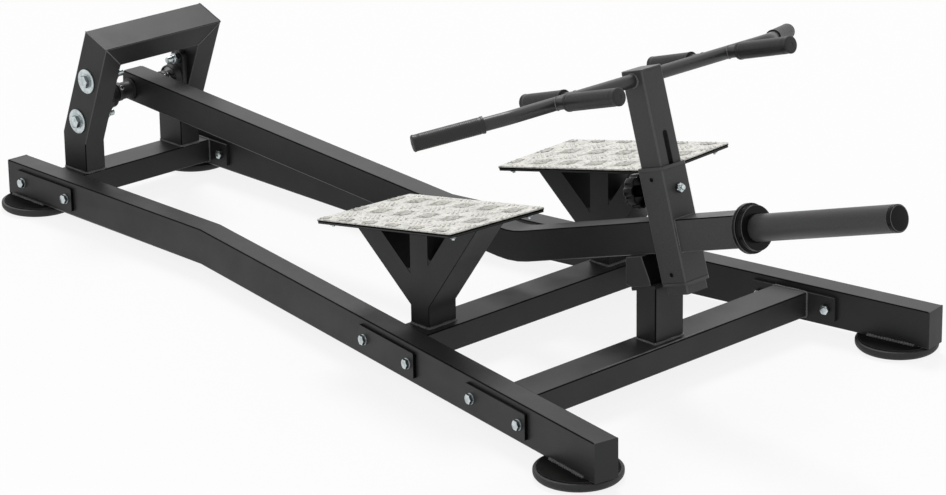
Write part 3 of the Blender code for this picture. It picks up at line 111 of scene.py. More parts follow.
# Floor frame
RAIL_WIDTH = 0.050
RAIL_HEIGHT = 0.075
RAIL_FLOOR_GAP = 0.019
RAIL_REAR_OFFSET = 0.2122
RAIL_KINK_RUN = 0.6496
RAIL_SPLAY = math.radians(9.8)
CROSSBAR_RUNS = {"rear": 0.1329, "middle": 1.3501, "front": 1.7058}
CROSSBAR_HEIGHT = 0.050
CROSSBAR_WIDTH = 0.075
# Painted highlight along the front crossbar's top front edge: its span across and its inset from the edge
HIGHLIGHT_LINE_SPAN = (-0.220, 0.080)
HIGHLIGHT_LINE_INSET = 0.0034
FLANGE_LENGTH = 0.190
FLANGE_HEIGHT = 0.050
FLANGE_THICKNESS = 0.008
CLAMP_PLATE_THICKNESS = 0.006
PLATE_CORNER = 0.004
FRAME_BOLT_SPACING = 0.150
FRAME_BOLT = {"washer": 0.0105, "washer_thickness": 0.0018, "shank": 0.005, "head_flats": 0.017,
              "head_height": 0.0065, "nut_flats": 0.017, "nut_height": 0.0085}

# Feet
FOOT_RUNS = {"rear": 0.0725, "front": 1.9165}
FOOT_WELD_SPANS = {"rear": (-0.060, 0.050), "front": (-0.052, 0.052)}
FOOT_WELD_STAND_OFF = 0.0006
FOOT_WELD_LIFT = 0.0010
FOOT_RADIUS = 0.0805
FOOT_CONTACT_RADIUS = 0.0745
FOOT_BEVEL_HEIGHT = 0.0065
FOOT_HEIGHT = 0.0168
FOOT_DISC_RADIUS = 0.0735
FOOT_DISC_TOP = 0.0195
FOOT_DISC_THICKNESS = 0.005

# Post and footplate supports
POST_RUN = 1.7016
POST_DEPTH = 0.050
POST_WIDTH = 0.075
SUPPORT_RUN = 1.3435
SUPPORT_OFFSET = 0.23975
SUPPORT_DEPTH = 0.050
SUPPORT_WIDTH = 0.0695
WINDOW_WELD_INSET = 0.0006
# Foot of each window between the prongs: its side, height, the prong's lean and the weld's height
WINDOW_FEET = ((-1, 0.1827, math.radians(50.8), 0.0075), (1, 0.2100, math.radians(35.8), 0.0100))

# Arch and bearings
ARCH_RUN_X = 0.1295
ARCH_DEPTH = 0.075
ARCH_TOP_REACH = 0.1302
ARCH_KINK_Z = 0.1533
ARCH_INNER_FACE = 0.1042
ARCH_OUTER_FACE = 0.1542
ARCH_LEAN = math.radians(21.51)
SHAFT_RADIUS = 0.0125
SHAFT_BOSS_RADIUS = 0.0165
SHAFT_COVER_RADIUS = 0.0235
SET_SCREW_OFFSET = 0.0595
SET_SCREW_RADIUS = 0.0058
SET_SCREW_DIRECTION = (0.80, 0, 0.60)
BEARING_BOLT_SPACING = 0.1035
BEARING_BOLT = {"washer": 0.0265, "washer_thickness": 0.003, "shank": 0.007, "head_flats": 0.025,
                "head_height": 0.009, "nut_flats": 0.022, "nut_height": 0.012}
BEARING_BOLT_TAIL = 0.003
BEARING_THREAD_REACH = 0.010
LOCK_COLLAR_RADIUS = 0.0092
LOCK_COLLAR_HEIGHT = 0.004
SMALL_WASHER_RADIUS = 0.0165
SMALL_WASHER_THICKNESS = 0.0012
HOUSING_FLANGE = 0.013
HOUSING_DEPTH = 0.027
HOUSING_RADIUS = 0.033
HOUSING_EAR_RADIUS = 0.0155
HOUSING_BOSS_RADIUS = 0.0305
HOUSING_NOSE_RADIUS = 0.0285
OUTER_RING_RADIUS = 0.026
OUTER_RING_WIDTH = 0.015
INNER_RING_RADIUS = 0.0168
INNER_RING_START = 0.0017
INNER_RING_WIDTH = 0.0341
RING_SCREW_TURNS = (math.radians(30), math.radians(150))
RING_SCREW_RADIUS = 0.0026
RING_SCREW_INSET = 0.0045
BALL_PLANE = 0.016

# Lever's head: heights run down from the receiver's top along the mast
LEVER_HEIGHT = 0.0612
LEVER_WIDTH = 0.0524
HEAD_HEIGHT = 0.13045
RECEIVER_WIDTH = 0.0625
MAST_WIDTH = 0.0535
RECEIVER_TOP = -0.0068
RECEIVER_BOTTOM = -0.2165
BUSHING_SCREW_INSET = 0.0155
BUSHING_SCREW_RADIUS = 0.0040
CLAMP_HEIGHT = -0.046
SLEEVE_RADIUS = 0.025
SLEEVE_WALL = 0.003
SLEEVE_END = 0.5474
SLEEVE_CAP_LENGTH = 0.009
SLEEVE_CAP_PLUG = 0.014
COLLAR_START = 0.1875
COLLAR_FLANGE_RADIUS = 0.046
COLLAR_FLANGE_THICKNESS = 0.0087
COLLAR_RING_RADIUS = 0.0415
COLLAR_LENGTH = 0.0214

# Clamp
CLAMP_BOLT_RADIUS = 0.005
CLAMP_NUT_FLATS = 0.016
CLAMP_NUT_HEIGHT = 0.008
PIN_LEG_RADIUS = 0.0011
PIN_LEG_ENDS = ((0.0105, 0.0085), (0.0070, -0.0050))
KNOB_RADIUS = 0.0325
KNOB_FLUTES = 9
KNOB_FLUTE_DEPTH = 0.0030
KNOB_THICKNESS = 0.024
KNOB_SHELL = 0.0035
KNOB_HUB_RADIUS = 0.011
KNOB_HUB_LENGTH = 0.028

# Handlebar and grips
BAR_RADIUS = 0.0125
BAR_HEIGHT = 0.16224
BAR_BEND_OFFSET = 0.343
BAR_SWEEP = math.radians(31)
BAR_DROOP = math.radians(1.9)
BAR_SWEPT_RUN = 0.1757
BAR_BEND_RADIUS = 0.060
BAR_BEND_STEPS = 8
GRIP_RADIUS = 0.015
GRIP_RIM = 0.0008
GRIP_RIM_WIDTH = 0.004
GRIP_RING_PITCH = 0.0032
GRIP_RING_RISE = 0.0003
GRIP_LENGTH = 0.1314
GRIP_END = 0.004
NEUTRAL_BAR_RADIUS = 0.0115
NEUTRAL_WAYS = {"front": 1, "rear": -1}
NEUTRAL_OFFSETS = {"front": 0.2258, "rear": 0.1677}
NEUTRAL_REACHES = {"front": 0.1672, "rear": 0.1423}
NEUTRAL_GRIP_START = 0.0355
NEUTRAL_GRIP_RADIUS = 0.016

# Footplates
FOOTPLATE_LENGTH = 0.410
FOOTPLATE_WIDTH = 0.224
TREAD_THICKNESS = 0.0045
BASE_THICKNESS = 0.0045
FOOTPLATE_CORNER = 0.004
FOOTPLATE_RUN = 1.3410
FOOTPLATE_OFFSET = 0.2447
FOOTPLATE_TOP = 0.2980
FOOTPLATE_YAW = math.radians(4.45)
FOOTPLATE_PITCH = math.radians(10.8)
FOOTPLATE_BOLT_INSET_X = 0.0205
FOOTPLATE_BOLT_INSET_Y = 0.0225
FOOTPLATE_NUT_FLATS = 0.012
FOOTPLATE_NUT_HEIGHT = 0.0055
FOOTPLATE_STUD_TAIL = 0.0035
FOOTPLATE_BOLT_RADIUS = 0.003

# Tread: patches of five raised bars in two crossing sets, of which the first is painted darker as shade.
# Each set has its shift in pitches, the angle of its bars and the finishes up a bar's side, whose darker sides are
# painted shade.
PATCH_SETS = ((0.0, math.radians(52), (3, 2, 2)), (0.5, math.radians(135), (2, 0, 0)))
PATCH_PITCH_X = 0.072
PATCH_PITCH_Y = 0.088
PATCH_START_X = 0.019
PATCH_START_Y = 0.018
PATCH_COLUMNS = range(-4, 4)
PATCH_ROWS = range(-3, 3)
TREAD_BAR_LENGTH = 0.037
TREAD_BAR_SHARES = (0.50, 0.88, 1.15, 0.88, 0.50)
TREAD_BAR_WIDTH = 0.0052
TREAD_BAR_SPACING = 0.0088
TREAD_BAR_RISE = 0.0019
TREAD_BAR_MARGIN = 0.003
TREAD_BAR_END_STEPS = 6
SHADE_PATCH_LENGTH = 0.058
SHADE_PATCH_WIDTH = 0.034
SHADE_PATCH_RISE = 0.0004

SIDES = (("left", 1), ("right", -1))
X_AXIS = Vector((1, 0, 0))
Y_AXIS = Vector((0, 1, 0))
Z_AXIS = Vector((0, 0, 1))
HALF_TURN = Matrix.Rotation(math.pi, 4, "X")

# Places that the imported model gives
JOINTS = {joint["name"]: joint for joint in frame["joints"]}
PIVOT = Vector(JOINTS["lever_pivot"]["pos_m"])
HEAD_UP = Vector(JOINTS["mast_slide"]["axis"])
HEAD_FORWARD = -Vector(JOINTS["clamp_turn"]["axis"])
CLAMP_POINT = Vector(JOINTS["clamp_turn"]["pos_m"])
HEAD = CLAMP_POINT - CLAMP_HEIGHT * HEAD_UP
LEG_DIRECTION = Vector((math.sin(ARCH_LEAN), 0, math.cos(ARCH_LEAN)))
RAIL_CENTRE_Z = RAIL_FLOOR_GAP + RAIL_HEIGHT / 2
CROSSBAR_TOP = RAIL_CENTRE_Z + CROSSBAR_HEIGHT / 2
BODY_OF = {node: body for body, nodes in frame["record"]["behaviour"]["bodies"].items() for node in nodes}


def middle(node):
    low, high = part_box(node)
    return (low + high) / 2


RAIL_REAR_X = middle("foot_pad_rear_left").x - FOOT_RUNS["rear"]


# Small helpers for shapes
def aimed(origin, x_axis, z_axis):
    """Matrix of a frame at origin whose local X and Z point along the given directions."""
    z = Vector(z_axis).normalized()
    y = z.cross(Vector(x_axis)).normalized()
    x = y.cross(z)
    return Matrix.Translation(origin) @ Matrix((x, y, z)).transposed().to_4x4()


HEAD_FRAME = aimed(HEAD, HEAD_FORWARD, HEAD_UP)
SLEEVE_FRAME = aimed(HEAD - HEAD_HEIGHT * HEAD_UP, Y_AXIS, HEAD_FORWARD)


def shifted(x, y, z):
    return Matrix.Translation((x, y, z))


def softened(points, radius, steps=3, closed=False):
    """A polyline in a plane with its corners rounded off."""
    points = [Vector(point) for point in points]
    rounded = []
    for index, point in enumerate(points):
        if not closed and index in (0, len(points) - 1):
            rounded.append(point)
            continue
        before = points[index - 1]
        after = points[(index + 1) % len(points)]
        cut = min(radius, (before - point).length * 0.45, (after - point).length * 0.45)
        start = point + (before - point).normalized() * cut
        end = point + (after - point).normalized() * cut
        for step in range(steps + 1):
            t = step / steps
            rounded.append(start.lerp(point, t).lerp(point.lerp(end, t), t))
    return rounded


def rounded_rectangle(width, height, radius, steps=4):
    corners = [(x * width / 2, y * height / 2) for x, y in ((1, -1), (1, 1), (-1, 1), (-1, -1))]
    return softened(corners, radius, steps, closed=True)


def circle(radius, segments):
    step = math.tau / segments
    return [(radius * math.cos(step * i), radius * math.sin(step * i)) for i in range(segments)]


def tube(bore, radius, low, high):
    """Turned outline of a ring between two heights."""
    return [(bore, low), (radius, low), (radius, high), (bore, high)]


def add_rings(body, rings, looped=False, bands=()):
    """Skin a run of rings of equal counts; bands give each band's finish, and the caps' last."""
    verts = [[body.verts.new(point) for point in ring] for ring in rings]
    pairs = list(zip(verts, verts[1:]))
    if looped:
        pairs.append((verts[-1], verts[0]))
    else:
        for cap in (verts[0][::-1], verts[-1]):
            body.faces.new(cap).material_index = bands[-1] if bands else 0
    for number, (low, high) in enumerate(pairs):
        for i in range(len(low)):
            j = (i + 1) % len(low)
            face = body.faces.new((low[i], low[j], high[j], high[i]))
            face.material_index = bands[number] if bands else 0


def add_plate(body, place, outline, levels, bands):
    """A flat form: an outline in a frame's X and Y, scaled by a share at each height along Z."""
    rings = [[place @ Vector((x * share, y * share, z)) for x, y in outline] for share, z in levels]
    add_rings(body, rings, bands=bands)


def add_turned(body, levels, segments, matrix, looped=False, bands=()):
    """A solid turned about Z; a level is a radius and a height, or functions of the angle."""
    rings = []
    for radius, height in levels:
        ring = []
        for i in range(segments):
            angle = math.tau * i / segments
            reach = radius(angle) if callable(radius) else radius
            level = height(angle) if callable(height) else height
            ring.append(matrix @ Vector((reach * math.cos(angle), reach * math.sin(angle), level)))
        rings.append(ring)
    add_rings(body, rings, looped, bands)


def swept_rings(profile, path, side, end_plane=None):
    """Rings of a profile along straight runs, mitred where two runs meet."""
    runs = [(b - a).normalized() for a, b in zip(path, path[1:])]
    planes = [runs[0], *((a + b).normalized() for a, b in zip(runs, runs[1:])), end_plane or runs[-1]]
    rings = []
    for index, (point, plane) in enumerate(zip(path, planes)):
        run = runs[min(index, len(runs) - 1)]
        across = side.cross(run).normalized()
        upright = run.cross(across)
        ring = []
        for u, v in profile:
            start = point + u * across + v * upright
            ring.append(start + run * ((point - start).dot(plane) / run.dot(plane)))
        rings.append(ring)
    return rings


def add_hex(body, matrix, flats, low, high):
    """A hexagon head or nut from low to high, its upper corners chamfered as by a cone; its flats take finish 1, a
    painted shade.
    """
    inner = flats * 0.48

    def reach(angle):
        return flats / 2 / math.cos(angle % math.radians(60) - math.radians(30))

    def shoulder(angle):
        return high - (reach(angle) - inner) * math.tan(math.radians(30))

    add_turned(body, [(reach, low), (reach, shoulder), (inner, high)], 48, matrix, bands=(1, 0, 0))


def add_washer(body, matrix, bore, radius, low, high):
    outline = softened(tube(bore, radius, low, high), (high - low) / 4, 2, True)
    add_turned(body, outline, 48, matrix, looped=True)


def add_fastener(body, spot, head_seat, nut_seat, washer, washer_thickness, shank, head_flats,
                 head_height, nut_flats, nut_height, tail=0.0015):
    """A hexagon bolt along local Z with its washer, its shank and its nut."""
    head_base = head_seat + washer_thickness
    nut_end = nut_seat - nut_height
    add_washer(body, spot, shank, washer, head_seat, head_base)
    add_hex(body, spot, head_flats, head_base, head_base + head_height)
    add_hex(body, spot @ HALF_TURN, nut_flats, -nut_seat, -nut_end)
    end = nut_end - tail
    add_turned(body, [(shank - 0.001, end), (shank, end + 0.001), (shank, head_seat)], 32, spot)


def add_object(name, data):
    item = bpy.data.objects.new(name, data)
    bpy.context.scene.collection.objects.link(item)
    return item


def show(name, body, finish, ride_on, replaced=(), weighted=False, sharp=SHARP_ANGLE):
    """Turn a bmesh into a piece of one finish or several that rides on a body of the model."""
    bmesh.ops.recalc_face_normals(body, faces=body.faces)
    mesh = bpy.data.meshes.new(name)
    body.to_mesh(mesh)
    body.free()
    for material in finish if isinstance(finish, tuple) else (finish,):
        mesh.materials.append(material)
    mesh.shade_smooth()
    mesh.set_sharp_from_angle(angle=sharp)
    item = add_object(name, mesh)
    if weighted:
        item.modifiers.new("flat faces", "WEIGHTED_NORMAL").keep_sharp = True
    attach(item, ride_on)
    if replaced:
        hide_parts(*replaced)
    return item


def show_rims(name, place, rims, ride_on):
    """Thin light rims about one axis, painted highlights on edges; each has its bore, its radius and its two
    heights.
    """
    body = bmesh.new()
    for rim in rims:
        add_washer(body, place, *rim)
    show(name, body, LIT_EDGE, ride_on)


def show_turned(name, levels, segments, matrix, finish, ride_on, replaced=(), looped=True):
    """A piece of a single turned form; a looped outline closes on itself round a bore."""
    body = bmesh.new()
    add_turned(body, levels, segments, matrix, looped)
    show(name, body, finish, ride_on, replaced)


def tighten_corners(body, share):
    """Draw each two-facet corner of a box tube towards its sharp corner, and return its facets."""
    moves = {}
    facets = set()
    for edge in body.edges:
        if not edge.is_manifold or not FACET_ANGLES[0] < edge.calc_face_angle_signed() < FACET_ANGLES[1]:
            continue
        for vert in edge.verts:
            ends = []
            for face in edge.link_faces:
                loop = next(loop for loop in face.loops if loop.vert == vert)
                ends.append(loop.link_loop_prev.vert if loop.edge == edge else loop.link_loop_next.vert)
            spans = [(end.co - vert.co).length for end in ends]
            if max(spans) > CORNER_SPAN or abs(spans[0] - spans[1]) > CORNER_UNEVENNESS * max(spans):
                continue
            between = (ends[0].co + ends[1].co) / 2
            tip = between + CORNER_REACH * (vert.co - between)
            for point in (vert, *ends):
                moves[point] = tip + (point.co - tip) * share
            facets.update(edge.link_faces)
    for point, place in moves.items():
        point.co = place
    return facets


def soften(node, finish, edge=EDGE_ROUND, corner=1.0, dark_below=0.0, seam=-1):
    """Show a part of the model through a copy whose hard edges are rounded.

    The tube corners that look up or lie below a height take finish 1, a painted shade line, the others
    finish 2, a painted highlight line, and the rounded edges take finish seam. The tops of the foot
    discs take finish 1, painted shade of the rail above them.
    """
    body = bmesh.new()
    body.from_mesh(frame["nodes"][node].data)
    bmesh.ops.remove_doubles(body, verts=body.verts, dist=1e-6)
    bmesh.ops.dissolve_limit(body, angle_limit=math.radians(1), verts=body.verts, edges=body.edges)
    # Corner facets: painted shade where they look up or lie low, painted highlight elsewhere
    if corner < 1.0:
        for face in tighten_corners(body, corner):
            dark = face.normal.z > LOOKS_UP or face.calc_center_median().z < dark_below
            face.material_index = 1 if dark else 2
    # Foot disc tops: painted shade under the rail
    for face in body.faces:
        if face.normal.z > 0.9 and abs(face.calc_center_median().z - FOOT_DISC_TOP) < 0.001:
            face.material_index = 1
    hard = [e for e in body.edges if e.is_manifold and e.calc_face_angle() > HARD_ANGLE]
    bmesh.ops.bevel(body, geom=hard, offset=edge, segments=2, profile=0.5, affect="EDGES",
                    clamp_overlap=True, material=seam)
    return show(node + "_shell", body, finish, BODY_OF[node], (node,), True, SOFT_ANGLE)


# Shader nodes, and the node groups that several finishes share
def add_node(tree, kind, links=(), **settings):
    """A node with properties set by name, and inputs set from values or linked sockets."""
    node = tree.nodes.new(kind)
    for key, value in settings.items():
        setattr(node, key, value)
    for key, source in links:
        if isinstance(source, bpy.types.NodeSocket):
            tree.links.new(source, node.inputs[key])
        else:
            node.inputs[key].default_value = source
    return node


def joined(tree, operation, first, second):
    """Two values joined by an operation of a maths node."""
    return add_node(tree, "ShaderNodeMath", [(0, first), (1, second)], operation=operation).outputs[0]


def ranged(tree, value, low, high, start=0.3, end=0.7):
    """A value in the range start to end, carried to low to high."""
    node = add_node(tree, "ShaderNodeMapRange", [
        ("Value", value), ("From Min", start), ("From Max", end), ("To Min", low), ("To Max", high),
    ])
    return node.outputs[0]


def mixed(tree, mask, dark, light):
    """Colour that goes from one value to the other as the mask rises."""
    node = add_node(tree, "ShaderNodeMix", [("Factor", mask)], data_type="RGBA")
    for index, value in ((6, dark), (7, light)):
        if isinstance(value, bpy.types.NodeSocket):
            tree.links.new(value, node.inputs[index])
        else:
            node.inputs[index].default_value = (*value, 1)
    return node.outputs[2]


def placed(tree, group, **inputs):
    return add_node(tree, "ShaderNodeGroup", inputs.items(), node_tree=group).outputs[0]


def new_group(name, output, **inputs):
    """A node group with number inputs of the given defaults and one number output."""
    group = bpy.data.node_groups.new(name, "ShaderNodeTree")
    for label, value in inputs.items():
        socket = group.interface.new_socket(name=label, in_out="INPUT", socket_type="NodeSocketFloat")
        socket.default_value = value
    group.interface.new_socket(name=output, in_out="OUTPUT", socket_type="NodeSocketFloat")
    return group, group.nodes.new("NodeGroupInput"), group.nodes.new("NodeGroupOutput")


def make_cloud_group():
    """Soft noise of a real size, from 0 to 1, in the piece's own space."""
    group, given, out = new_group("cloud", "Value", Size=0.1, Detail=3.0, Seed=0.0)
    place = add_node(group, "ShaderNodeTexCoord")
    noise = add_node(group, "ShaderNodeTexNoise", [
        ("Vector", place.outputs["Object"]),
        ("W", given.outputs["Seed"]),
        ("Scale", joined(group, "DIVIDE", 1.0, given.outputs["Size"])),
        ("Detail", given.outputs["Detail"]),
        ("Roughness", 0.55),
    ], noise_dimensions="4D")
    group.links.new(noise.outputs["Fac"], out.inputs[0])
    return group


def make_speckle_group():
    """Round pores or flecks of a real size: 1 in a fleck and 0 around it."""
    group, given, out = new_group("speckle", "Mask", Size=0.01, Share=0.2)
    place = add_node(group, "ShaderNodeTexCoord")
    cells = add_node(group, "ShaderNodeTexVoronoi", [
        ("Vector", place.outputs["Object"]),
        ("Scale", joined(group, "DIVIDE", 1.0, given.outputs["Size"])),
    ])
    mask = ranged(group, cells.outputs["Distance"], 1.0, 0.0, 0.0, given.outputs["Share"])
    group.links.new(mask, out.inputs[0])
    return group


def make_edge_group():
    """Mask of the sharp outer edges, where a highlight is painted: 1 on an edge and 0 on a flat."""
    group, given, out = new_group("painted_edge_highlight", "Mask", Start=0.51, End=0.56)
    bend = add_node(group, "ShaderNodeNewGeometry").outputs["Pointiness"]
    mask = ranged(group, bend, 0.0, 1.0, given.outputs["Start"], given.outputs["End"])
    group.links.new(mask, out.inputs[0])
    return group


def make_dust_group():
    """Mask of the fine dust that settles unevenly on faces that look up."""
    group, given, out = new_group("settled_dust", "Mask", Size=0.08, Amount=0.3)
    normal = add_node(group, "ShaderNodeNewGeometry").outputs["Normal"]
    split = add_node(group, "ShaderNodeSeparateXYZ", [(0, normal)])
    level = ranged(group, split.outputs["Z"], 0.0, 1.0, 0.6, 1.0)
    uneven = joined(group, "MULTIPLY", placed(group, CLOUD, Size=given.outputs["Size"]), level)
    group.links.new(joined(group, "MULTIPLY", uneven, given.outputs["Amount"]), out.inputs[0])
    return group


CLOUD = make_cloud_group()
SPECKLE = make_speckle_group()
EDGE_HIGHLIGHT = make_edge_group()
DUST = make_dust_group()


# Finishes
def cloudy(tree, size, detail=3.0, seed=0.0):
    return placed(tree, CLOUD, Size=size, Detail=detail, Seed=seed)


def grey(level):
    return (level, level, level)


def cool_grey(level):
    return (level, level, level + 0.001)


def scaled(colour, factor):
    return [value * factor for value in colour]


def new_finish(name, metallic, roughness, shine=0.5):
    material = bpy.data.materials.new(name)
    material.use_nodes = True
    shader = material.node_tree.nodes["Principled BSDF"]
    for label, value in (("Metallic", metallic), ("Roughness", roughness), ("Specular IOR Level", shine)):
        shader.inputs[label].default_value = value
    return material, material.node_tree, shader


def surfaced(tree, shader, colour, roughness):
    tree.links.new(colour, shader.inputs["Base Color"])
    tree.links.new(roughness, shader.inputs["Roughness"])


def bumped(tree, shader, height, depth):
    """Relief of a real depth in metres, laid over any relief that the shader already has."""
    node = add_node(tree, "ShaderNodeBump", [("Height", height), ("Distance", depth), ("Strength", 1.0)])
    if shader.inputs["Normal"].is_linked:
        tree.links.new(shader.inputs["Normal"].links[0].from_socket, node.inputs["Normal"])
    tree.links.new(node.outputs[0], shader.inputs["Normal"])


def make_powder_coat(name, dark, light, roughness, peel=0.00004, shine=0.27):
    """Satin powder coat: orange peel, slow changes of tone, pale flecks and a little dust."""
    material, tree, shader = new_finish(name, 0.0, roughness, shine)
    tone = mixed(tree, cloudy(tree, 0.16, 4.0), dark, light)
    grain = cloudy(tree, 0.0016)
    fleck = mixed(tree, ranged(tree, grain, 0.0, 0.35, 0.45, 0.75), tone, scaled(light, 1.9))
    dusty = mixed(tree, placed(tree, DUST, Size=0.05, Amount=0.04), fleck, (0.25, 0.24, 0.22))
    smear = cloudy(tree, 0.07, 5.0, seed=3.0)
    surfaced(tree, shader, dusty, ranged(tree, smear, roughness - 0.05, roughness + 0.07))
    bumped(tree, shader, grain, peel)
    return material


def make_zinc(name, dark, light):
    """Zinc-plated steel: cool grey metal with fine scuffs and blotches of darker tone."""
    material, tree, shader = new_finish(name, 1.0, 0.3)
    blotch = cloudy(tree, 0.009)
    tone = mixed(tree, ranged(tree, blotch, 0.0, 1.0, 0.30, 0.64), dark, light)
    scuff = cloudy(tree, 0.0012, 5.0, seed=2.0)
    surfaced(tree, shader, tone, ranged(tree, scuff, 0.22, 0.42))
    bumped(tree, shader, scuff, 0.00002)
    return material


def make_ground_steel():
    """Dark bearing steel with fine scratches of grinding."""
    material, tree, shader = new_finish("ground_steel", 1.0, 0.25)
    patches = cloudy(tree, 0.004)
    tone = mixed(tree, patches, (0.16, 0.16, 0.165), (0.30, 0.30, 0.31))
    scratch = cloudy(tree, 0.0006, 4.0, seed=5.0)
    surfaced(tree, shader, tone, ranged(tree, scratch, 0.18, 0.36))
    bumped(tree, shader, scratch, 0.00001)
    return material


def make_cast_iron():
    """Painted cast iron: a coarse sand-cast skin under thin black paint."""
    material, tree, shader = new_finish("painted_cast_iron", 0.0, 0.5)
    skin = cloudy(tree, 0.003, 5.0)
    surfaced(tree, shader, mixed(tree, skin, grey(0.005), grey(0.014)), ranged(tree, skin, 0.42, 0.6))
    bumped(tree, shader, skin, 0.00035)
    return material


def make_rubber(name, dark, light, roughness, pore):
    """Moulded rubber: pores, a dry bloom and slow changes of tone."""
    material, tree, shader = new_finish(name, 0.0, roughness, 0.4)
    bloom = cloudy(tree, 0.03, 5.0)
    tone = mixed(tree, bloom, dark, light)
    dusty = mixed(tree, placed(tree, DUST, Size=0.02, Amount=0.08), tone, (0.2, 0.2, 0.19))
    surfaced(tree, shader, dusty, ranged(tree, bloom, roughness - 0.08, roughness + 0.08))
    bumped(tree, shader, placed(tree, SPECKLE, Size=pore, Share=0.5), -pore * 0.08)
    bumped(tree, shader, cloudy(tree, pore * 2, 4.0), pore * 0.06)
    return material


def make_plastic(name, dark, light, roughness, shine=0.5):
    """Injection-moulded black plastic with a highlight painted on its sharp edges and a fine spark-eroded texture.
    """
    material, tree, shader = new_finish(name, 0.0, roughness, shine)
    haze = cloudy(tree, 0.02, 4.0)
    tone = mixed(tree, haze, dark, light)
    # Painted highlight: sharp edges lighter
    edge_highlighted = mixed(tree, placed(tree, EDGE_HIGHLIGHT), tone, scaled(light, 2.2))
    surfaced(tree, shader, edge_highlighted, ranged(tree, haze, roughness - 0.08, roughness + 0.08))
    bumped(tree, shader, cloudy(tree, 0.0007), 0.00003)
    return material


def make_tread_metal(name, dark, light):
    """Pale tread plate: a silvery white surface with slanted rolling marks, flecks and stains."""
    material, tree, shader = new_finish(name, 0.15, 0.45)
    stain = cloudy(tree, 0.03, 6.0)
    plain = mixed(tree, ranged(tree, stain, 0.0, 1.0), dark, light)
    fleck = cloudy(tree, 0.0060, 5.0, seed=7.0)
    tone = mixed(tree, ranged(tree, fleck, 0.8, 0.0, 0.38, 0.51), plain, scaled(dark, 0.42))
    place = add_node(tree, "ShaderNodeTexCoord")
    turned = add_node(tree, "ShaderNodeMapping", [
        ("Vector", place.outputs["Object"]), ("Rotation", (0, 0, math.radians(38))),
    ])
    rolling = add_node(tree, "ShaderNodeTexWave", [
        ("Vector", turned.outputs[0]), ("Scale", 95.0), ("Distortion", 4.0), ("Detail", 3.0),
        ("Detail Scale", 2.0),
    ]).outputs["Fac"]
    marked = mixed(tree, ranged(tree, rolling, 0.0, 0.35, 0.2, 1.0), tone, scaled(dark, 0.8))
    surfaced(tree, shader, marked, ranged(tree, stain, 0.36, 0.55))
    bumped(tree, shader, rolling, 0.00008)
    return material


POWDER_COAT = make_powder_coat("powder_coat", cool_grey(0.017), cool_grey(0.026), 0.42)
# A lighter copy of the powder coat for the lever's head and plate sleeve: painted light where the lamp falls on
# them
HEAD_COAT_PAINTED_LIGHT = make_powder_coat("head_powder_coat_painted_light", cool_grey(0.048), cool_grey(0.066), 0.38)
BAR_COAT = make_powder_coat("bar_powder_coat", cool_grey(0.022), cool_grey(0.036), 0.36, shine=0.45)
# Near-black and light copies of the powder coat, for painted shade and painted highlight along edges and corners
SHADED_EDGE = make_powder_coat("shaded_edge", grey(0.001), grey(0.003), 0.75, shine=0.08)
LIT_EDGE = make_powder_coat("painted_highlight_edge_coat", cool_grey(0.075), cool_grey(0.120), 0.34)
# Weld beads in a far lighter copy of the coat: painted glints on their ripples
WELD_COAT_PAINTED_GLINT = make_powder_coat("coated_weld_painted_glint", cool_grey(0.090), cool_grey(0.190), 0.32, 0.00008)
FRAME_FINISH = (POWDER_COAT, SHADED_EDGE, LIT_EDGE)
HEAD_FINISH = (HEAD_COAT_PAINTED_LIGHT, SHADED_EDGE, LIT_EDGE)
ZINC = make_zinc("zinc_plate", (0.40, 0.45, 0.46), (0.68, 0.74, 0.75))
# The second zinc, a darker copy, paints shade on the hexagon flats
ZINC_FINISH = (ZINC, make_zinc("shaded_zinc", (0.05, 0.055, 0.057), (0.24, 0.26, 0.27)))
GROUND_STEEL = make_ground_steel()
CAST_IRON = make_cast_iron()
PAD_RUBBER = make_rubber("pad_rubber", grey(0.020), grey(0.034), 0.62, 0.0012)
GRIP_FINISH = (
    make_rubber("grip_rubber", grey(0.009), grey(0.017), 0.36, 0.0008),
    make_rubber("grip_tip_rubber", grey(0.012), grey(0.020), 0.5, 0.0008),
)
PLASTIC = make_plastic("moulded_plastic", cool_grey(0.012), cool_grey(0.022), 0.38)
GLOSS_PLASTIC = make_plastic("polished_plastic", grey(0.003), grey(0.006), 0.24, 0.12)
# Tread finishes: plain metal, painted shade on the plate's side, painted shade on the patches and bar sides,
# deeper on the first set's bar sides
TREAD_FINISH = (
    make_tread_metal("tread_metal", (0.70, 0.69, 0.64), (0.90, 0.88, 0.82)),
    SHADED_EDGE,
    make_tread_metal("tread_metal_painted_shade", (0.53, 0.52, 0.475), (0.78, 0.76, 0.70)),
    make_tread_metal("tread_bar_sides_painted_shade", (0.25, 0.245, 0.22), (0.46, 0.45, 0.41)),
)


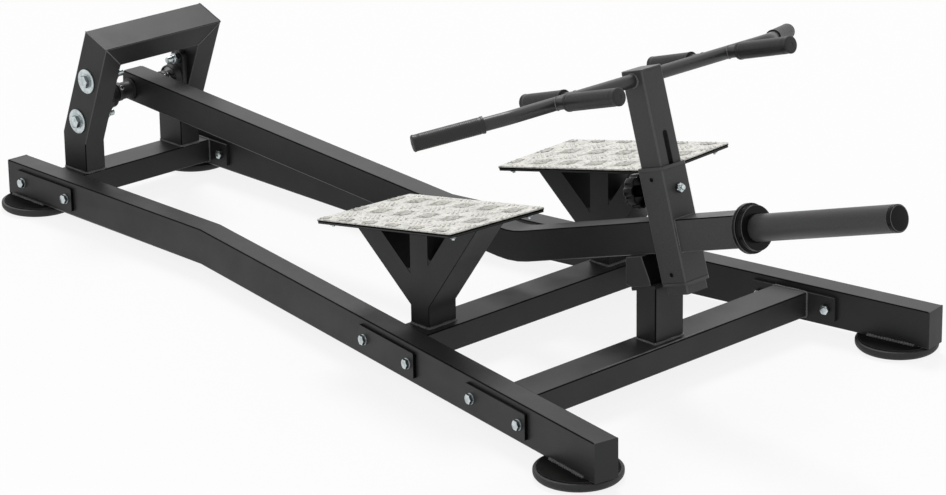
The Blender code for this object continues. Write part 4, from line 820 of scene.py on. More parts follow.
# Steel structure: the model's own forms with their edges rounded
def dress_structure():
    for node in ("rail_left", "rail_right", "rear_crossbar", "middle_crossbar", "front_crossbar",
                 "lever_arm"):
        soften(node, FRAME_FINISH, corner=CORNER_SHARE)
    # Arch corners below the kink, and all the post's corners, take the painted shade line
    for node in ("arch_upright_left", "arch_upright_right", "arch_top_bar"):
        soften(node, FRAME_FINISH, corner=CORNER_SHARE, dark_below=ARCH_KINK_Z)
    soften("front_post", FRAME_FINISH, corner=CORNER_SHARE, dark_below=1.0)
    # The supports' rounded edges take a painted shade line
    for node in ("footplate_support_left", "footplate_support_right"):
        soften(node, FRAME_FINISH, SUPPORT_EDGE, seam=1)
    for node in ("lever_front_stub", "receiver", "mast"):
        soften(node, HEAD_FINISH, corner=CORNER_SHARE)
    # The plastic caps' and bushings' rounded edges take a painted highlight
    for node in ("lever_rear_cap", "mast_cap", "receiver_bushing_top", "receiver_bushing_bottom"):
        soften(node, (PLASTIC, SHADED_EDGE, LIT_EDGE), PLASTIC_EDGE, seam=2)
    # The bumper's rounded edges take a painted highlight, and its front face painted shade
    bumper = soften("stop_bumper", (PAD_RUBBER, SHADED_EDGE, LIT_EDGE), BUMPER_EDGE, seam=2)
    for face in bumper.data.polygons:
        if face.material_index == 0 and face.normal.x > 0.5:
            face.material_index = 1


def rail_frame(run, side):
    """Frame on a rail's centreline at a run from its rear end: local X along it, local Z outwards."""
    bent_run = max(0.0, run - RAIL_KINK_RUN)
    angle = side * RAIL_SPLAY if bent_run else 0.0
    offset = side * (RAIL_REAR_OFFSET + bent_run * math.tan(RAIL_SPLAY))
    point = Vector((RAIL_REAR_X + run, offset, RAIL_CENTRE_Z))
    along = Vector((math.cos(angle), math.sin(angle), 0))
    return aimed(point, along, side * Vector((-math.sin(angle), math.cos(angle), 0)))


def dress_frame_bolts():
    """Clamp plates outside the rails, and the bolts through them with washers and nuts."""
    face = RAIL_WIDTH / 2 + SEAT
    outside = face + CLAMP_PLATE_THICKNESS
    inside = -face - FLANGE_THICKNESS - SEAT
    outline = rounded_rectangle(FLANGE_LENGTH, FLANGE_HEIGHT, PLATE_CORNER)
    levels = ((1.0, face), (1.0, outside - EDGE_ROUND), (0.996, outside))
    for end, run in CROSSBAR_RUNS.items():
        for word, side in SIDES:
            place = rail_frame(run, side)
            plate = bmesh.new()
            # The plate's edge faces take finish 1, a painted shadow of the gap to the rail
            add_plate(plate, place, outline, levels, (1, 1, 0))
            node = "clamp_plate_" + end + "_" + word
            show(node + "_steel", plate, FRAME_FINISH, "frame", (node,), weighted=True)
            bolts = bmesh.new()
            for way in (-1, 1):
                spot = place @ shifted(way * FRAME_BOLT_SPACING / 2, 0, 0)
                add_fastener(bolts, spot, outside, inside, **FRAME_BOLT)
            show("frame_bolts_" + end + "_" + word, bolts, ZINC_FINISH, "frame")


# Weld beads
def evenly(points, step):
    """Points at even steps along a polyline, with its last point kept."""
    spaced = [points[0]]
    carry = 0.0
    for start, end in zip(points, points[1:]):
        length = (end - start).length
        at = step - carry
        while at < length:
            spaced.append(start.lerp(end, at / length))
            at += step
        carry = (carry + length) % step
    spaced.append(points[-1])
    return spaced


def add_bead(body, points, kind, closed=True):
    """A rippled weld bead that follows a run of points, narrow at an open end."""
    radius = BEAD_RADII[kind]
    path = evenly([*points, points[0]], BEAD_STEP)[:-1] if closed else evenly(points, BEAD_STEP)
    count = len(path)
    rings = []
    side = None
    for index, point in enumerate(path):
        before = path[index - 1] if index or closed else point
        after = path[(index + 1) % count] if index < count - 1 or closed else point
        along = (after - before).normalized()
        side = along.orthogonal() if side is None else side - side.dot(along) * along
        side.normalize()
        upright = along.cross(side)
        taper = 1.0 if closed or 0 < index < count - 1 else BEAD_END_TAPER
        short_wave, long_wave = (math.sin(index * turn) for turn in BEAD_WAVES)
        ripple = BEAD_RIPPLE * short_wave + 0.5 * BEAD_RIPPLE * long_wave
        wave = radius * taper * (1 + ripple)
        rings.append([point + wave * (math.cos(angle) * side + math.sin(angle) * upright)
                      for angle in (math.tau * i / BEAD_SIDES for i in range(BEAD_SIDES))])
    add_rings(body, rings, looped=closed)


def loop_on(place, width, height, corner=0.003):
    """A rectangle of points in a frame's X and Y."""
    return [place @ Vector((x, y, 0)) for x, y in rounded_rectangle(width, height, corner, 2)]


def flange_loop(run, side):
    """The line where a crossbar meets the flange at its end."""
    place = rail_frame(run, side)
    normal = place.to_3x3() @ Z_AXIS
    face = place @ Vector((0, 0, -RAIL_WIDTH / 2 - SEAT - FLANGE_THICKNESS))
    loop = []
    for u, v in rounded_rectangle(CROSSBAR_WIDTH, CROSSBAR_HEIGHT, 0.004, 2):
        x = RAIL_REAR_X + run + u
        loop.append(Vector((x, face.y - (x - face.x) * normal.x / normal.y, RAIL_CENTRE_Z + v)))
    return loop


def add_foot_bead(body, run, offset, depth, width, kind):
    """Bead round the foot of a box tube that stands on a crossbar."""
    foot = shifted(RAIL_REAR_X + run, offset, CROSSBAR_TOP)
    add_bead(body, loop_on(foot, depth, width), kind)


def dress_frame_welds():
    """Beads that join the crossbars, arch, post, supports and feet, and a painted highlight along the front
    crossbar's top edge.
    """
    beads = bmesh.new()
    arch_width = ARCH_OUTER_FACE - ARCH_INNER_FACE
    rail_side = RAIL_WIDTH / 2 + FOOT_WELD_STAND_OFF
    for run in CROSSBAR_RUNS.values():
        for _, side in SIDES:
            add_bead(beads, flange_loop(run, side), "crossbar")
    for _, side in SIDES:
        offset = side * (ARCH_INNER_FACE + ARCH_OUTER_FACE) / 2
        add_foot_bead(beads, ARCH_RUN_X, offset, ARCH_DEPTH, arch_width, "arch")
        top = PIVOT + ARCH_TOP_REACH * LEG_DIRECTION
        mitre = (LEG_DIRECTION - side * Y_AXIS).normalized()
        path = [Vector((PIVOT.x, offset, PIVOT.z)), Vector((top.x, offset, top.z))]
        outline = rounded_rectangle(ARCH_DEPTH, arch_width, 0.002, 2)
        add_bead(beads, swept_rings(outline, path, Y_AXIS, mitre)[-1], "mitre")
        for end, run in FOOT_RUNS.items():
            place = rail_frame(run, side)
            for way in (-1, 1):
                ends = [place @ Vector((x, 0, way * rail_side)) for x in FOOT_WELD_SPANS[end]]
                for point in ends:
                    point.z = FOOT_DISC_TOP + FOOT_WELD_LIFT
                add_bead(beads, ends, "foot", closed=False)
    # A painted highlight along the front crossbar's top front edge, drawn as a thin bead
    strip = bmesh.new()
    edge = RAIL_REAR_X + CROSSBAR_RUNS["front"] + CROSSBAR_WIDTH / 2 - HIGHLIGHT_LINE_INSET
    add_bead(strip, [Vector((edge, y, CROSSBAR_TOP)) for y in HIGHLIGHT_LINE_SPAN], "painted_highlight_line", closed=False)
    show("front_crossbar_painted_highlight", strip, WELD_COAT_PAINTED_GLINT, "frame")
    add_foot_bead(beads, POST_RUN, 0, POST_DEPTH, POST_WIDTH, "post")
    for _, side in SIDES:
        add_foot_bead(beads, SUPPORT_RUN, side * SUPPORT_OFFSET, SUPPORT_DEPTH, SUPPORT_WIDTH, "support")
    show("frame_welds", beads, WELD_COAT_PAINTED_GLINT, "frame")


def dress_window_welds():
    """Welds that fill the foot of each window between a footplate's prongs."""
    for word, side in SIDES:
        body = bmesh.new()
        for way, height, lean, fill in WINDOW_FEET:
            x = RAIL_REAR_X + SUPPORT_RUN + way * SUPPORT_DEPTH / 2
            slant = way * fill * math.tan(lean)
            profile = [(0, -0.004), (slant, fill - 0.002), (slant, fill), (slant * 0.35, fill * 0.86),
                       (0, fill * 1.25)]
            rings = []
            for across in (-1, 1):
                y = side * SUPPORT_OFFSET + across * (SUPPORT_WIDTH / 2 - WINDOW_WELD_INSET)
                rings.append([Vector((x + u, y, height + v)) for u, v in profile])
            add_rings(body, rings)
        show("window_welds_" + word, body, POWDER_COAT, "frame", weighted=True)


def on_head(origin, x_axis, z_axis):
    """A frame given in the lever head's own axes."""
    return HEAD_FRAME @ aimed(Vector(origin), x_axis, z_axis)


def short_bar(end, side):
    """Frame at the root of a short bar, on the handlebar's centreline, local Z along the short bar."""
    return on_head((0, side * NEUTRAL_OFFSETS[end], BAR_HEIGHT), Z_AXIS, (NEUTRAL_WAYS[end], 0, 0))


def dress_head_welds():
    """Beads where the lever and its stub meet the receiver, and rings round the bars' joints."""
    beads = bmesh.new()
    for way in (-1, 1):
        face = on_head((way * RECEIVER_WIDTH / 2, 0, -HEAD_HEIGHT), Y_AXIS, X_AXIS)
        add_bead(beads, loop_on(face, LEVER_WIDTH, LEVER_HEIGHT, 0.004), "receiver")
    show("receiver_welds", beads, WELD_COAT_PAINTED_GLINT, "lever")
    beads = bmesh.new()
    for _, side in SIDES:
        face = on_head((0, side * MAST_WIDTH / 2, BAR_HEIGHT), X_AXIS, Y_AXIS)
        add_bead(beads, [face @ Vector((x, y, 0)) for x, y in circle(BAR_RADIUS, 24)], "bar")
        for end in NEUTRAL_WAYS:
            out = short_bar(end, side)
            saddle = [out @ Vector((x, y, math.sqrt(BAR_RADIUS ** 2 - x ** 2)))
                      for x, y in circle(NEUTRAL_BAR_RADIUS, 24)]
            add_bead(beads, saddle, "short_bar")
    show("handlebar_welds", beads, WELD_COAT_PAINTED_GLINT, "mast")


def dress_receiver_screws():
    """Heads of the screws that hold the receiver's bushings, painted black as the shade of their recesses, with
    light rims as painted highlights.
    """
    radius = BUSHING_SCREW_RADIUS
    levels = [(radius, 0.0002), (radius, 0.0016), (radius - 0.0006, 0.0019)]
    for word, height in (("top", RECEIVER_TOP - BUSHING_SCREW_INSET),
                         ("bottom", RECEIVER_BOTTOM + BUSHING_SCREW_INSET)):
        heads, rims = bmesh.new(), bmesh.new()
        for _, side in SIDES:
            spot = on_head((0, side * RECEIVER_WIDTH / 2, height), Z_AXIS, side * Y_AXIS)
            add_turned(heads, levels, 32, spot)
            add_washer(rims, spot, radius + 0.0001, radius + 0.0010, 0.0001, 0.0010)
        show("bushing_screws_" + word, heads, SHADED_EDGE, "lever")
        show("bushing_screw_rims_" + word, rims, LIT_EDGE, "lever")


# Feet
def dress_feet():
    recess = FOOT_DISC_RADIUS + SEAT
    floor = FOOT_DISC_TOP - FOOT_DISC_THICKNESS - SEAT
    outline = [(0.0, 0.0), (FOOT_CONTACT_RADIUS, 0.0), (FOOT_RADIUS, FOOT_BEVEL_HEIGHT),
               (FOOT_RADIUS, FOOT_HEIGHT), (recess, FOOT_HEIGHT), (recess, floor), (0.0, floor)]
    levels = softened(outline, 0.0035, 4)
    levels[0].x = levels[-1].x = CORE_RADIUS
    for end in FOOT_RUNS:
        for word, _ in SIDES:
            node = "foot_pad_" + end + "_" + word
            centre = middle(node)
            show_turned(node + "_rubber", levels, 96, shifted(centre.x, centre.y, 0), PAD_RUBBER, "frame",
                        (node,), looped=False)


# Pivot bearings
def housing_reach(angle):
    """Outline of a two-bolt bearing flange: a round centre with straight tapers to two ears."""
    ear = BEARING_BOLT_SPACING / 2
    taper = math.acos((HOUSING_RADIUS - HOUSING_EAR_RADIUS) / ear)
    swing = abs(math.remainder(angle, math.pi))
    if swing > taper:
        return HOUSING_RADIUS
    ear_half = math.atan2(HOUSING_EAR_RADIUS * math.sin(taper), ear + HOUSING_EAR_RADIUS * math.cos(taper))
    if swing > ear_half:
        return HOUSING_RADIUS / math.cos(taper - swing)
    chord = ear * math.sin(swing)
    return ear * math.cos(swing) + math.sqrt(HOUSING_EAR_RADIUS ** 2 - chord ** 2)


def drawn_in(amount):
    return lambda angle: housing_reach(angle) - amount


def dress_bearing_unit(word, side):
    """Casting and races of one bearing unit, with the set screws in its inner race."""
    seat = Vector((PIVOT.x, side * (ARCH_INNER_FACE - SEAT), PIVOT.z))
    place = aimed(seat, LEG_DIRECTION, (0, -side, 0))
    bore = OUTER_RING_RADIUS + SEAT
    levels = [
        (bore, 0), (drawn_in(0), 0), (drawn_in(0), HOUSING_FLANGE - 0.0025),
        (drawn_in(0.0008), HOUSING_FLANGE - 0.0008), (drawn_in(0.0025), HOUSING_FLANGE),
        (HOUSING_BOSS_RADIUS + 0.0012, HOUSING_FLANGE), (HOUSING_BOSS_RADIUS, HOUSING_FLANGE + 0.0014),
        (HOUSING_NOSE_RADIUS + 0.0006, HOUSING_DEPTH - 0.0014),
        (HOUSING_NOSE_RADIUS - 0.0008, HOUSING_DEPTH), (bore, HOUSING_DEPTH),
    ]
    show_turned("bearing_casting_" + word, levels, 120, place, CAST_IRON, "frame",
                ("bearing_housing_" + word,))

    low = BALL_PLANE - OUTER_RING_WIDTH / 2
    high = BALL_PLANE + OUTER_RING_WIDTH / 2
    seal = high - 0.0012
    race = INNER_RING_RADIUS + SEAT
    outline = [(race, low), (OUTER_RING_RADIUS, low), (OUTER_RING_RADIUS, high),
               (OUTER_RING_RADIUS - 0.003, high), (OUTER_RING_RADIUS - 0.0035, seal), (race, seal)]
    show_turned("bearing_outer_race_" + word, softened(outline, 0.0006, 2, True), 72, place, GROUND_STEEL,
                "frame", ("bearing_outer_ring_" + word,))

    high = INNER_RING_START + INNER_RING_WIDTH
    outline = tube(SHAFT_RADIUS + SEAT, INNER_RING_RADIUS, INNER_RING_START, high)
    ring = bmesh.new()
    add_turned(ring, softened(outline, 0.0008, 3, True), 64, place, looped=True)
    for turn in RING_SCREW_TURNS:
        screw = place @ Matrix.Rotation(turn, 4, "Z") @ shifted(0, 0, high - RING_SCREW_INSET)
        socket = screw @ Matrix.Rotation(math.radians(90), 4, "Y")
        levels = [(RING_SCREW_RADIUS, INNER_RING_RADIUS - 0.002),
                  (RING_SCREW_RADIUS, INNER_RING_RADIUS + 0.0004)]
        add_turned(ring, levels, 16, socket)
    show("bearing_inner_race_" + word, ring, GROUND_STEEL, "lever", ("bearing_inner_ring_" + word,))


def dress_bearing_bolts(word, side):
    """Bolts of one bearing unit with two washers each, lock nuts with their inserts, and long threads."""
    outside = ARCH_OUTER_FACE + SEAT
    washer_top = outside + BEARING_BOLT["washer_thickness"]
    nut_seat = ARCH_INNER_FACE - 2 * SEAT - HOUSING_FLANGE
    nut_end = nut_seat - BEARING_BOLT["nut_height"]
    lock_end = nut_end - LOCK_COLLAR_HEIGHT
    tip = lock_end - BEARING_BOLT_TAIL
    bolt_tail = LOCK_COLLAR_HEIGHT + BEARING_BOLT_TAIL
    shank = BEARING_BOLT["shank"]
    collar = softened(tube(shank, LOCK_COLLAR_RADIUS, nut_end + 0.001, lock_end), 0.0012, 3, True)
    thread_end = tip - BEARING_THREAD_REACH
    thread = [(shank, tip), (shank, thread_end), (shank - 0.001, thread_end - 0.001)]
    insert = tube(shank + 0.0001, LOCK_COLLAR_RADIUS - 0.0012, lock_end + 0.0005, lock_end - 0.0003)
    for end, way in (("lower", -1), ("upper", 1)):
        point = PIVOT + way * BEARING_BOLT_SPACING / 2 * LEG_DIRECTION
        spot = aimed(Vector((point.x, 0, point.z)), LEG_DIRECTION, (0, side, 0))
        bolt = bmesh.new()
        add_fastener(bolt, spot, outside, nut_seat, tail=bolt_tail, **BEARING_BOLT)
        add_turned(bolt, collar, 40, spot, looped=True)
        add_washer(bolt, spot, shank, SMALL_WASHER_RADIUS, washer_top, washer_top + SMALL_WASHER_THICKNESS)
        place = end + "_" + word
        show("bearing_bolt_" + place + "_zinc", bolt, ZINC_FINISH, "frame", ("bearing_bolt_" + place,))
        show_turned("bearing_bolt_thread_" + place, thread, 32, spot, ZINC_FINISH, "frame", looped=False)
        show_turned("lock_nut_insert_" + place, insert, 40, spot, PLASTIC, "frame")


def dress_bearings():
    for word, side in SIDES:
        dress_bearing_unit(word, side)
        dress_bearing_bolts(word, side)


def dress_shaft():
    """The ground shaft, and a black cover with a set screw over each end of the lever's boss."""
    low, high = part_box("pivot_shaft")
    half = (high.y - low.y) / 2
    outline = softened(tube(CORE_RADIUS, SHAFT_RADIUS, -half, half), 0.001, 2)
    show_turned("pivot_shaft_ground", outline, 48, aimed(PIVOT, X_AXIS, Y_AXIS), GROUND_STEEL, "lever",
                ("pivot_shaft",), looped=False)
    start = LEVER_WIDTH / 2 + SEAT
    end = ARCH_INNER_FACE - SEAT - INNER_RING_START - INNER_RING_WIDTH - 0.001
    bore = SHAFT_BOSS_RADIUS + 0.0001
    neck = bore + 0.0016
    rim = bore + 0.0034
    outline = [(bore, start), (SHAFT_COVER_RADIUS, start), (SHAFT_COVER_RADIUS, start + 0.004),
               (neck, start + 0.0055), (neck, end - 0.012), (rim, end - 0.0115), (rim, end), (bore, end)]
    outline = softened(outline, 0.0008, 2, True)
    top = bore + 0.0042
    recess = bore + 0.0030
    head = [(SET_SCREW_RADIUS, bore - 0.001), (SET_SCREW_RADIUS, bore + 0.0035),
            (SET_SCREW_RADIUS - 0.001, top), (0.0026, top), (0.0024, recess), (CORE_RADIUS, recess)]
    for word, side in SIDES:
        place = aimed(PIVOT, X_AXIS, side * Y_AXIS)
        show_turned("shaft_sleeve_" + word, outline, 64, place, CAST_IRON, "lever")
        screw = aimed(PIVOT + side * SET_SCREW_OFFSET * Y_AXIS, Y_AXIS, SET_SCREW_DIRECTION)
        show_turned("shaft_set_screw_" + word, head, 32, screw, GROUND_STEEL, "lever", looped=False)


# Plate sleeve
def dress_sleeve():
    """The collar with its two steps, the sleeve and its end cap, with painted highlights as light rims on the
    edges.
    """
    bore = SLEEVE_RADIUS + SEAT
    step = COLLAR_START + COLLAR_FLANGE_THICKNESS
    front = COLLAR_START + COLLAR_LENGTH
    outline = [(bore, COLLAR_START), (COLLAR_FLANGE_RADIUS, COLLAR_START), (COLLAR_FLANGE_RADIUS, step),
               (COLLAR_RING_RADIUS, step), (COLLAR_RING_RADIUS, front), (bore, front)]
    show_turned("collar_coated", softened(outline, 0.0016, 3, True), 96, SLEEVE_FRAME, GLOSS_PLASTIC, "lever",
                ("sleeve_collar",))
    edges = ((COLLAR_FLANGE_RADIUS, COLLAR_START + 0.0008), (COLLAR_FLANGE_RADIUS, step - 0.0008),
             (COLLAR_RING_RADIUS, front - 0.0008))
    rims = [(radius - 0.0012, radius + 0.0001, at - 0.0005, at + 0.0005) for radius, at in edges]
    show_rims("collar_rims", SLEEVE_FRAME, rims, "lever")

    inner = SLEEVE_RADIUS - SLEEVE_WALL
    seat = SLEEVE_END - SLEEVE_CAP_LENGTH
    outline = softened(tube(inner, SLEEVE_RADIUS, COLLAR_START + SEAT, seat - SEAT), 0.0006, 2, True)
    show_turned("plate_sleeve_coated", outline, 72, SLEEVE_FRAME, HEAD_COAT_PAINTED_LIGHT, "lever", ("weight_sleeve",))

    plug = inner - SEAT
    outline = [(CORE_RADIUS, seat - SLEEVE_CAP_PLUG), (plug, seat - SLEEVE_CAP_PLUG), (plug, seat),
               (SLEEVE_RADIUS, seat), (SLEEVE_RADIUS, SLEEVE_END), (CORE_RADIUS, SLEEVE_END)]
    show_turned("sleeve_cap_plastic", softened(outline, 0.0018, 4), 72, SLEEVE_FRAME, GLOSS_PLASTIC, "lever",
                ("sleeve_end_cap",), looped=False)
    shoulder = SLEEVE_RADIUS - 0.0012
    rims = ((SLEEVE_RADIUS - 0.0028, shoulder, SLEEVE_END - 0.0009, SLEEVE_END + 0.0002),
            (shoulder, SLEEVE_RADIUS + 0.0002, seat - 0.0006, seat + 0.0002))
    show_rims("sleeve_cap_rims", SLEEVE_FRAME, rims, "lever")


# Handlebar
def swept_end(side):
    """Direction of one swept end of the handlebar, in the head's frame."""
    level = math.cos(BAR_DROOP)
    return Vector((-math.sin(BAR_SWEEP) * level, side * math.cos(BAR_SWEEP) * level, -math.sin(BAR_DROOP)))


def bar_bend_points(side):
    """Centreline points of one bend of the handlebar, from the middle outwards."""
    inwards = Vector((0, -side, 0))
    outwards = swept_end(side)
    turn = math.pi - inwards.angle(outwards)
    bisector = (inwards + outwards).normalized()
    along = (outwards - inwards).normalized()
    centre = Vector((0, side * BAR_BEND_OFFSET, 0)) + bisector * BAR_BEND_RADIUS / math.cos(turn / 2)
    points = []
    for step in range(BAR_BEND_STEPS + 1):
        angle = turn * (step / BAR_BEND_STEPS - 0.5)
        points.append(centre + BAR_BEND_RADIUS * (math.sin(angle) * along - math.cos(angle) * bisector))
    return points


def dress_handlebar():
    """One bent bar with four short bars square to it, all welded and coated together."""
    half = {}
    for _, side in SIDES:
        corner = Vector((0, side * BAR_BEND_OFFSET, 0))
        half[side] = [*bar_bend_points(side), corner + (BAR_SWEPT_RUN - GRIP_END) * swept_end(side)]
    path = [BAR_HEIGHT * Z_AXIS + point for point in half[-1][::-1] + half[1]]
    body = bmesh.new()
    rings = swept_rings(circle(BAR_RADIUS, 32), path, Z_AXIS)
    add_rings(body, [[HEAD_FRAME @ point for point in ring] for ring in rings])
    for end, reach in NEUTRAL_REACHES.items():
        for _, side in SIDES:
            levels = [(NEUTRAL_BAR_RADIUS, 0.004), (NEUTRAL_BAR_RADIUS, reach - GRIP_END)]
            add_turned(body, levels, 32, short_bar(end, side))
    show("handlebar_coated", body, BAR_COAT, "mast", ("handlebar",))


def dress_grip(node, tip, tube_radius, radius, length):
    """A moulded grip: a rim at each end, fine rings along its length and a dimpled tip."""
    bore = tube_radius + SEAT
    rim = radius + GRIP_RIM
    start = GRIP_RIM_WIDTH - length
    outline = [(CORE_RADIUS, SEAT - GRIP_END), (bore, SEAT - GRIP_END), (bore, -length), (rim, -length),
               (rim, start), (radius, start + 0.001)]
    for index in range(int((length - 0.02) / GRIP_RING_PITCH)):
        at = start + 0.005 + index * GRIP_RING_PITCH
        crest = radius + GRIP_RING_RISE
        outline += [(radius, at), (crest, at + 0.0008), (crest, at + 0.0018), (radius, at + 0.0026)]
    outline += [(radius, -0.0052), (radius + 0.0006, -0.0045), (radius + 0.0006, -0.0022),
                (radius - 0.0012, -0.0004), (radius - 0.0035, 0.0), (0.0042, 0.0), (0.0036, -0.0008),
                (CORE_RADIUS, -0.0008)]
    bands = [0] * (len(outline) - 6) + [1, 1, 1, 0, 0, 0]
    body = bmesh.new()
    add_turned(body, outline, 48, tip, bands=bands)
    show(node + "_rubber", body, GRIP_FINISH, "mast", (node,))


def dress_grips():
    for word, side in SIDES:
        point = BAR_HEIGHT * Z_AXIS + Vector((0, side * BAR_BEND_OFFSET, 0)) + BAR_SWEPT_RUN * swept_end(side)
        tip = on_head(point, Z_AXIS, swept_end(side))
        dress_grip("bar_grip_" + word, tip, BAR_RADIUS, GRIP_RADIUS, GRIP_LENGTH)
        for end, reach in NEUTRAL_REACHES.items():
            dress_grip("neutral_grip_" + end + "_" + word, short_bar(end, side) @ shifted(0, 0, reach),
                       NEUTRAL_BAR_RADIUS, NEUTRAL_GRIP_RADIUS, reach - NEUTRAL_GRIP_START)


# Clamp
def knob_reach(inset):
    """Outline of the star knob, drawn in by an inset."""
    def reach(angle):
        return KNOB_RADIUS - inset - KNOB_FLUTE_DEPTH * max(0.0, -math.cos(KNOB_FLUTES * angle)) ** 0.7
    return reach


def dress_clamp():
    """The star knob behind the receiver, its bolt, the nut in front and the split pin."""
    face = RECEIVER_WIDTH / 2 + SEAT
    rim = face + KNOB_HUB_LENGTH
    back = rim + KNOB_THICKNESS
    socket = back - 2 * KNOB_SHELL
    bore = CLAMP_BOLT_RADIUS + SEAT
    levels = [
        (bore, socket), (bore, face), (KNOB_HUB_RADIUS - 0.0008, face), (KNOB_HUB_RADIUS, face + 0.0008),
        (KNOB_HUB_RADIUS, socket), (knob_reach(KNOB_SHELL), socket), (knob_reach(KNOB_SHELL), rim),
        (knob_reach(0.0006), rim), (knob_reach(0), rim + 0.001), (knob_reach(0), back - 0.0045),
        (knob_reach(0.0008), back - 0.0022), (knob_reach(0.0028), back - 0.0006), (knob_reach(0.0055), back),
        (0.010, back), (0.009, back - 0.0008), (CORE_RADIUS, back - 0.0008),
    ]
    backwards = aimed(CLAMP_POINT, HEAD_UP, -HEAD_FORWARD)
    show_turned("star_knob", levels, 144, backwards, GLOSS_PLASTIC, "clamp", ("clamp_knob",), looped=False)
    soften("clamp_bolt", ZINC, CLAMP_BOLT_EDGE)
    soften("split_pin", ZINC, SPLIT_PIN_EDGE)
    legs = bmesh.new()
    centre = CLAMP_POINT + (face + CLAMP_NUT_HEIGHT + 0.003) * HEAD_FORWARD
    for reach, lift in PIN_LEG_ENDS:
        tip = centre - reach * Y_AXIS + lift * HEAD_UP
        path = [centre, centre.lerp(tip, 0.5) + 0.001 * HEAD_FORWARD, tip]
        add_rings(legs, swept_rings(circle(PIN_LEG_RADIUS, 12), path, HEAD_FORWARD))
    show("split_pin_legs", legs, ZINC_FINISH, "clamp")

    nut = bmesh.new()
    add_hex(nut, aimed(CLAMP_POINT, HEAD_UP, HEAD_FORWARD), CLAMP_NUT_FLATS, face, face + CLAMP_NUT_HEIGHT)
    show("clamp_nut_zinc", nut, ZINC_FINISH, "lever", ("clamp_nut",))


# Footplates
def footplate_frame(side):
    """Frame of a footplate: local X forwards, local Z square to its top face."""
    centre = shifted(RAIL_REAR_X + FOOTPLATE_RUN, side * FOOTPLATE_OFFSET, FOOTPLATE_TOP)
    yaw = Matrix.Rotation(side * FOOTPLATE_YAW, 4, "Z")
    return centre @ yaw @ Matrix.Rotation(-FOOTPLATE_PITCH, 4, "Y")


def add_tread_bar(body, place, length, bands):
    """One raised bar of tread: slim, round at both ends and crowned."""
    width, rise = TREAD_BAR_WIDTH, TREAD_BAR_RISE
    rings = []
    for inset, level in ((0.0, 0.0), (width * 0.16, rise * 0.7), (width * 0.36, rise)):
        ring = []
        for way in (1, -1):
            for step in range(TREAD_BAR_END_STEPS + 1):
                angle = math.pi * (step / TREAD_BAR_END_STEPS - 0.5)
                x = way * ((length - width) / 2 + (width / 2 - inset) * math.cos(angle))
                y = way * (width / 2 - inset) * math.sin(angle)
                ring.append(place @ Vector((x, y, level)))
        rings.append(ring)
    add_rings(body, rings, bands=bands)


def clipped_run(centre, along, reach, half_x, half_y):
    """Start and end of the part of a bar that lies on the plate, measured from its centre."""
    low, high = -reach, reach
    for at, step, limit in ((centre.x, along.x, half_x), (centre.y, along.y, half_y)):
        ends = sorted(((-limit - at) / step, (limit - at) / step))
        low = max(low, ends[0])
        high = min(high, ends[1])
    return low, high


def add_tread_pattern(body, place, side):
    """Both sets of raised patches, clipped at the plate's edges, with a spot of painted shade under the first set.
    """
    half_x = FOOTPLATE_LENGTH / 2 - TREAD_BAR_MARGIN
    half_y = FOOTPLATE_WIDTH / 2 - TREAD_BAR_MARGIN
    spread = SHADE_PATCH_LENGTH * 0.42
    shade_outline = [(SHADE_PATCH_LENGTH / 2 * x, SHADE_PATCH_WIDTH / 2 * y * abs(y) ** 0.5)
                    for x, y in circle(1, 32)]
    for shift, angle, bands in PATCH_SETS:
        turn = Matrix.Rotation(angle, 4, "Z")
        along = Vector((math.cos(angle), math.sin(angle), 0))
        across = Vector((-math.sin(angle), math.cos(angle), 0))
        for column in PATCH_COLUMNS:
            for row in PATCH_ROWS:
                patch = Vector((PATCH_START_X + (column + shift) * PATCH_PITCH_X,
                                side * PATCH_START_Y + (row + shift) * PATCH_PITCH_Y, 0))
                # Painted shade under the first set's patches
                if shift == 0 and abs(patch.x) < half_x - spread and abs(patch.y) < half_y - spread:
                    spot = place @ shifted(*patch) @ turn
                    add_plate(body, spot, shade_outline, ((1, 0), (1, SHADE_PATCH_RISE)), (2, 2))
                for index, share in enumerate(TREAD_BAR_SHARES):
                    centre = patch + (index - 2) * TREAD_BAR_SPACING * across
                    low, high = clipped_run(centre, along, TREAD_BAR_LENGTH / 2 * share, half_x, half_y)
                    if high - low >= 2 * TREAD_BAR_WIDTH:
                        spot = place @ shifted(*(centre + (low + high) / 2 * along)) @ turn
                        add_tread_bar(body, spot, high - low, bands)


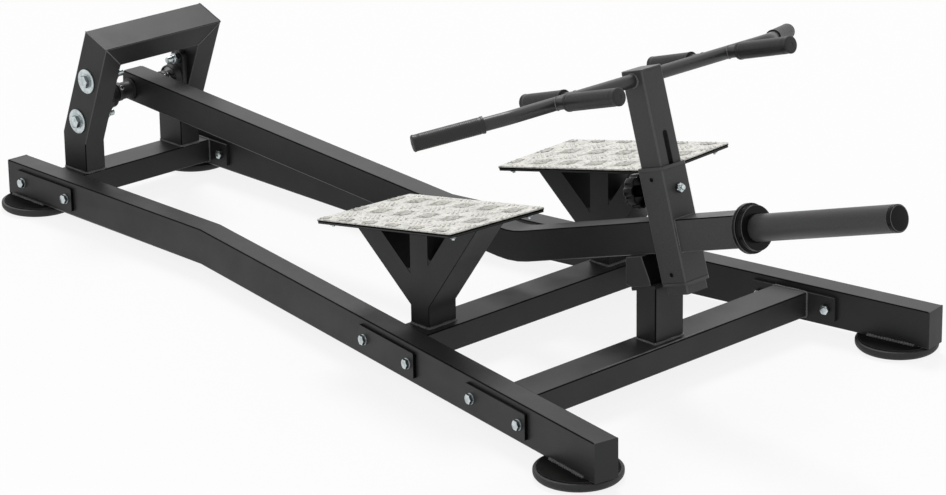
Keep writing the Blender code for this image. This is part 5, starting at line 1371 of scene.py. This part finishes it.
def dress_treads():
    """The tread plates, and the studs and nuts under their corners."""
    reach_x = FOOTPLATE_LENGTH / 2 - FOOTPLATE_BOLT_INSET_X
    reach_y = FOOTPLATE_WIDTH / 2 - FOOTPLATE_BOLT_INSET_Y
    nut_top = -TREAD_THICKNESS - BASE_THICKNESS - 2 * SEAT
    end = nut_top - FOOTPLATE_NUT_HEIGHT - FOOTPLATE_STUD_TAIL
    shank = FOOTPLATE_BOLT_RADIUS
    stud = [(shank - 0.0006, end), (shank, end + 0.0006), (shank, nut_top)]
    outline = rounded_rectangle(FOOTPLATE_LENGTH, FOOTPLATE_WIDTH, FOOTPLATE_CORNER)
    levels = ((1.0, -TREAD_THICKNESS), (1.0, -TREAD_THICKNESS * 0.55), (1.0, -0.0007), (0.998, 0.0))
    for word, side in SIDES:
        place = footplate_frame(side)
        body = bmesh.new()
        # The lower part of the plate's side takes finish 1, painted shade
        add_plate(body, place, outline, levels, (1, 0, 0, 0))
        add_tread_pattern(body, place @ shifted(0, 0, -0.0001), side)
        show("tread_plate_" + word, body, TREAD_FINISH, "frame", ("footplate_tread_" + word,))
        bolts = bmesh.new()
        for x in (-reach_x, reach_x):
            for y in (-reach_y, reach_y):
                spot = place @ shifted(x, y, 0)
                add_turned(bolts, stud, 20, spot)
                add_hex(bolts, spot @ HALF_TURN, FOOTPLATE_NUT_FLATS, -nut_top,
                        FOOTPLATE_NUT_HEIGHT - nut_top)
        show("tread_bolts_" + word, bolts, ZINC_FINISH, "frame")


# Studio
def make_camera():
    """The photograph's camera, its axis off the middle of the picture as the crop left it."""
    level = math.cos(CAMERA_ELEVATION)
    away = Vector((level * math.sin(CAMERA_AZIMUTH), -level * math.cos(CAMERA_AZIMUTH),
                   math.sin(CAMERA_ELEVATION)))
    right = (-away).cross(Z_AXIS).normalized()
    up = right.cross(-away)
    rolled_right = right * math.cos(CAMERA_ROLL) + up * math.sin(CAMERA_ROLL)
    rolled_up = up * math.cos(CAMERA_ROLL) - right * math.sin(CAMERA_ROLL)
    data = bpy.data.cameras.new("photo_camera")
    data.sensor_fit = "HORIZONTAL"
    data.sensor_width = SENSOR_WIDTH
    data.lens = FOCAL_PIXELS * SENSOR_WIDTH / FRAME_WIDTH
    data.shift_x = (FRAME_WIDTH / 2 - AXIS_PIXEL[0]) / FRAME_WIDTH
    data.shift_y = (AXIS_PIXEL[1] - FRAME_HEIGHT / 2) / FRAME_WIDTH
    data.clip_end = CAMERA_FAR_LIMIT
    camera = add_object("photo_camera", data)
    turn = Matrix((rolled_right, rolled_up, away)).transposed().to_4x4()
    camera.matrix_world = Matrix.Translation(Vector(CAMERA_TARGET) + away * CAMERA_DISTANCE) @ turn
    bpy.context.scene.camera = camera


def make_lamp():
    """A far, broad lamp."""
    data = bpy.data.lights.new("key_lamp", "SUN")
    data.energy = LAMP_STRENGTH
    data.angle = LAMP_SPREAD
    add_object("key_lamp", data).matrix_world = aimed(Vector((0, 0, 3)), X_AXIS, -Vector(LAMP_DIRECTION))


def seen_directly(tree):
    """1 for a ray from the camera, or one mirrored or carried by the object, and 0 otherwise."""
    path = add_node(tree, "ShaderNodeLightPath")
    both = joined(tree, "MAXIMUM", path.outputs["Is Camera Ray"], path.outputs["Is Glossy Ray"])
    return joined(tree, "MAXIMUM", both, path.outputs["Is Transmission Ray"])


def make_world():
    """White all round: plain light on the object, and full white to the camera."""
    world = bpy.data.worlds.new("white_studio")
    world.use_nodes = True
    bpy.context.scene.world = world
    tree = world.node_tree
    backdrop = tree.nodes["Background"]
    backdrop.inputs["Color"].default_value = (1, 1, 1, 1)
    level = ranged(tree, seen_directly(tree), WORLD_STRENGTH, 1.0, 0.0, 1.0)
    tree.links.new(level, backdrop.inputs["Strength"])


def make_floor():
    """A pale floor that keeps the machine's soft shadow and looks white around it."""
    material, tree, shader = new_finish("white_floor", 0.0, FLOOR_ROUGHNESS)
    shader.inputs["Base Color"].default_value = (*grey(FLOOR_TONE), 1)
    glow = add_node(tree, "ShaderNodeEmission", [("Color", (1, 1, 1, 1)), ("Strength", 1.0)])
    share = joined(tree, "MULTIPLY", seen_directly(tree), FLOOR_GLOW_SHARE)
    mix = add_node(tree, "ShaderNodeMixShader", [(0, share), (1, shader.outputs[0]), (2, glow.outputs[0])])
    tree.links.new(mix.outputs[0], tree.nodes["Material Output"].inputs["Surface"])
    body = bmesh.new()
    bmesh.ops.create_grid(body, x_segments=1, y_segments=1, size=FLOOR_REACH)
    mesh = bpy.data.meshes.new("floor")
    body.to_mesh(mesh)
    body.free()
    mesh.materials.append(material)
    floor = add_object("floor", mesh)
    floor.location.z = -FLOOR_DROP


dress_structure()
dress_frame_bolts()
dress_frame_welds()
dress_window_welds()
dress_feet()
dress_bearings()
dress_shaft()
dress_sleeve()
dress_handlebar()
dress_head_welds()
dress_receiver_screws()
dress_grips()
dress_clamp()
dress_treads()
make_camera()
make_lamp()
make_world()
make_floor()
bpy.context.scene.view_settings.view_transform = "Standard"

bpy.context.view_layer.update()
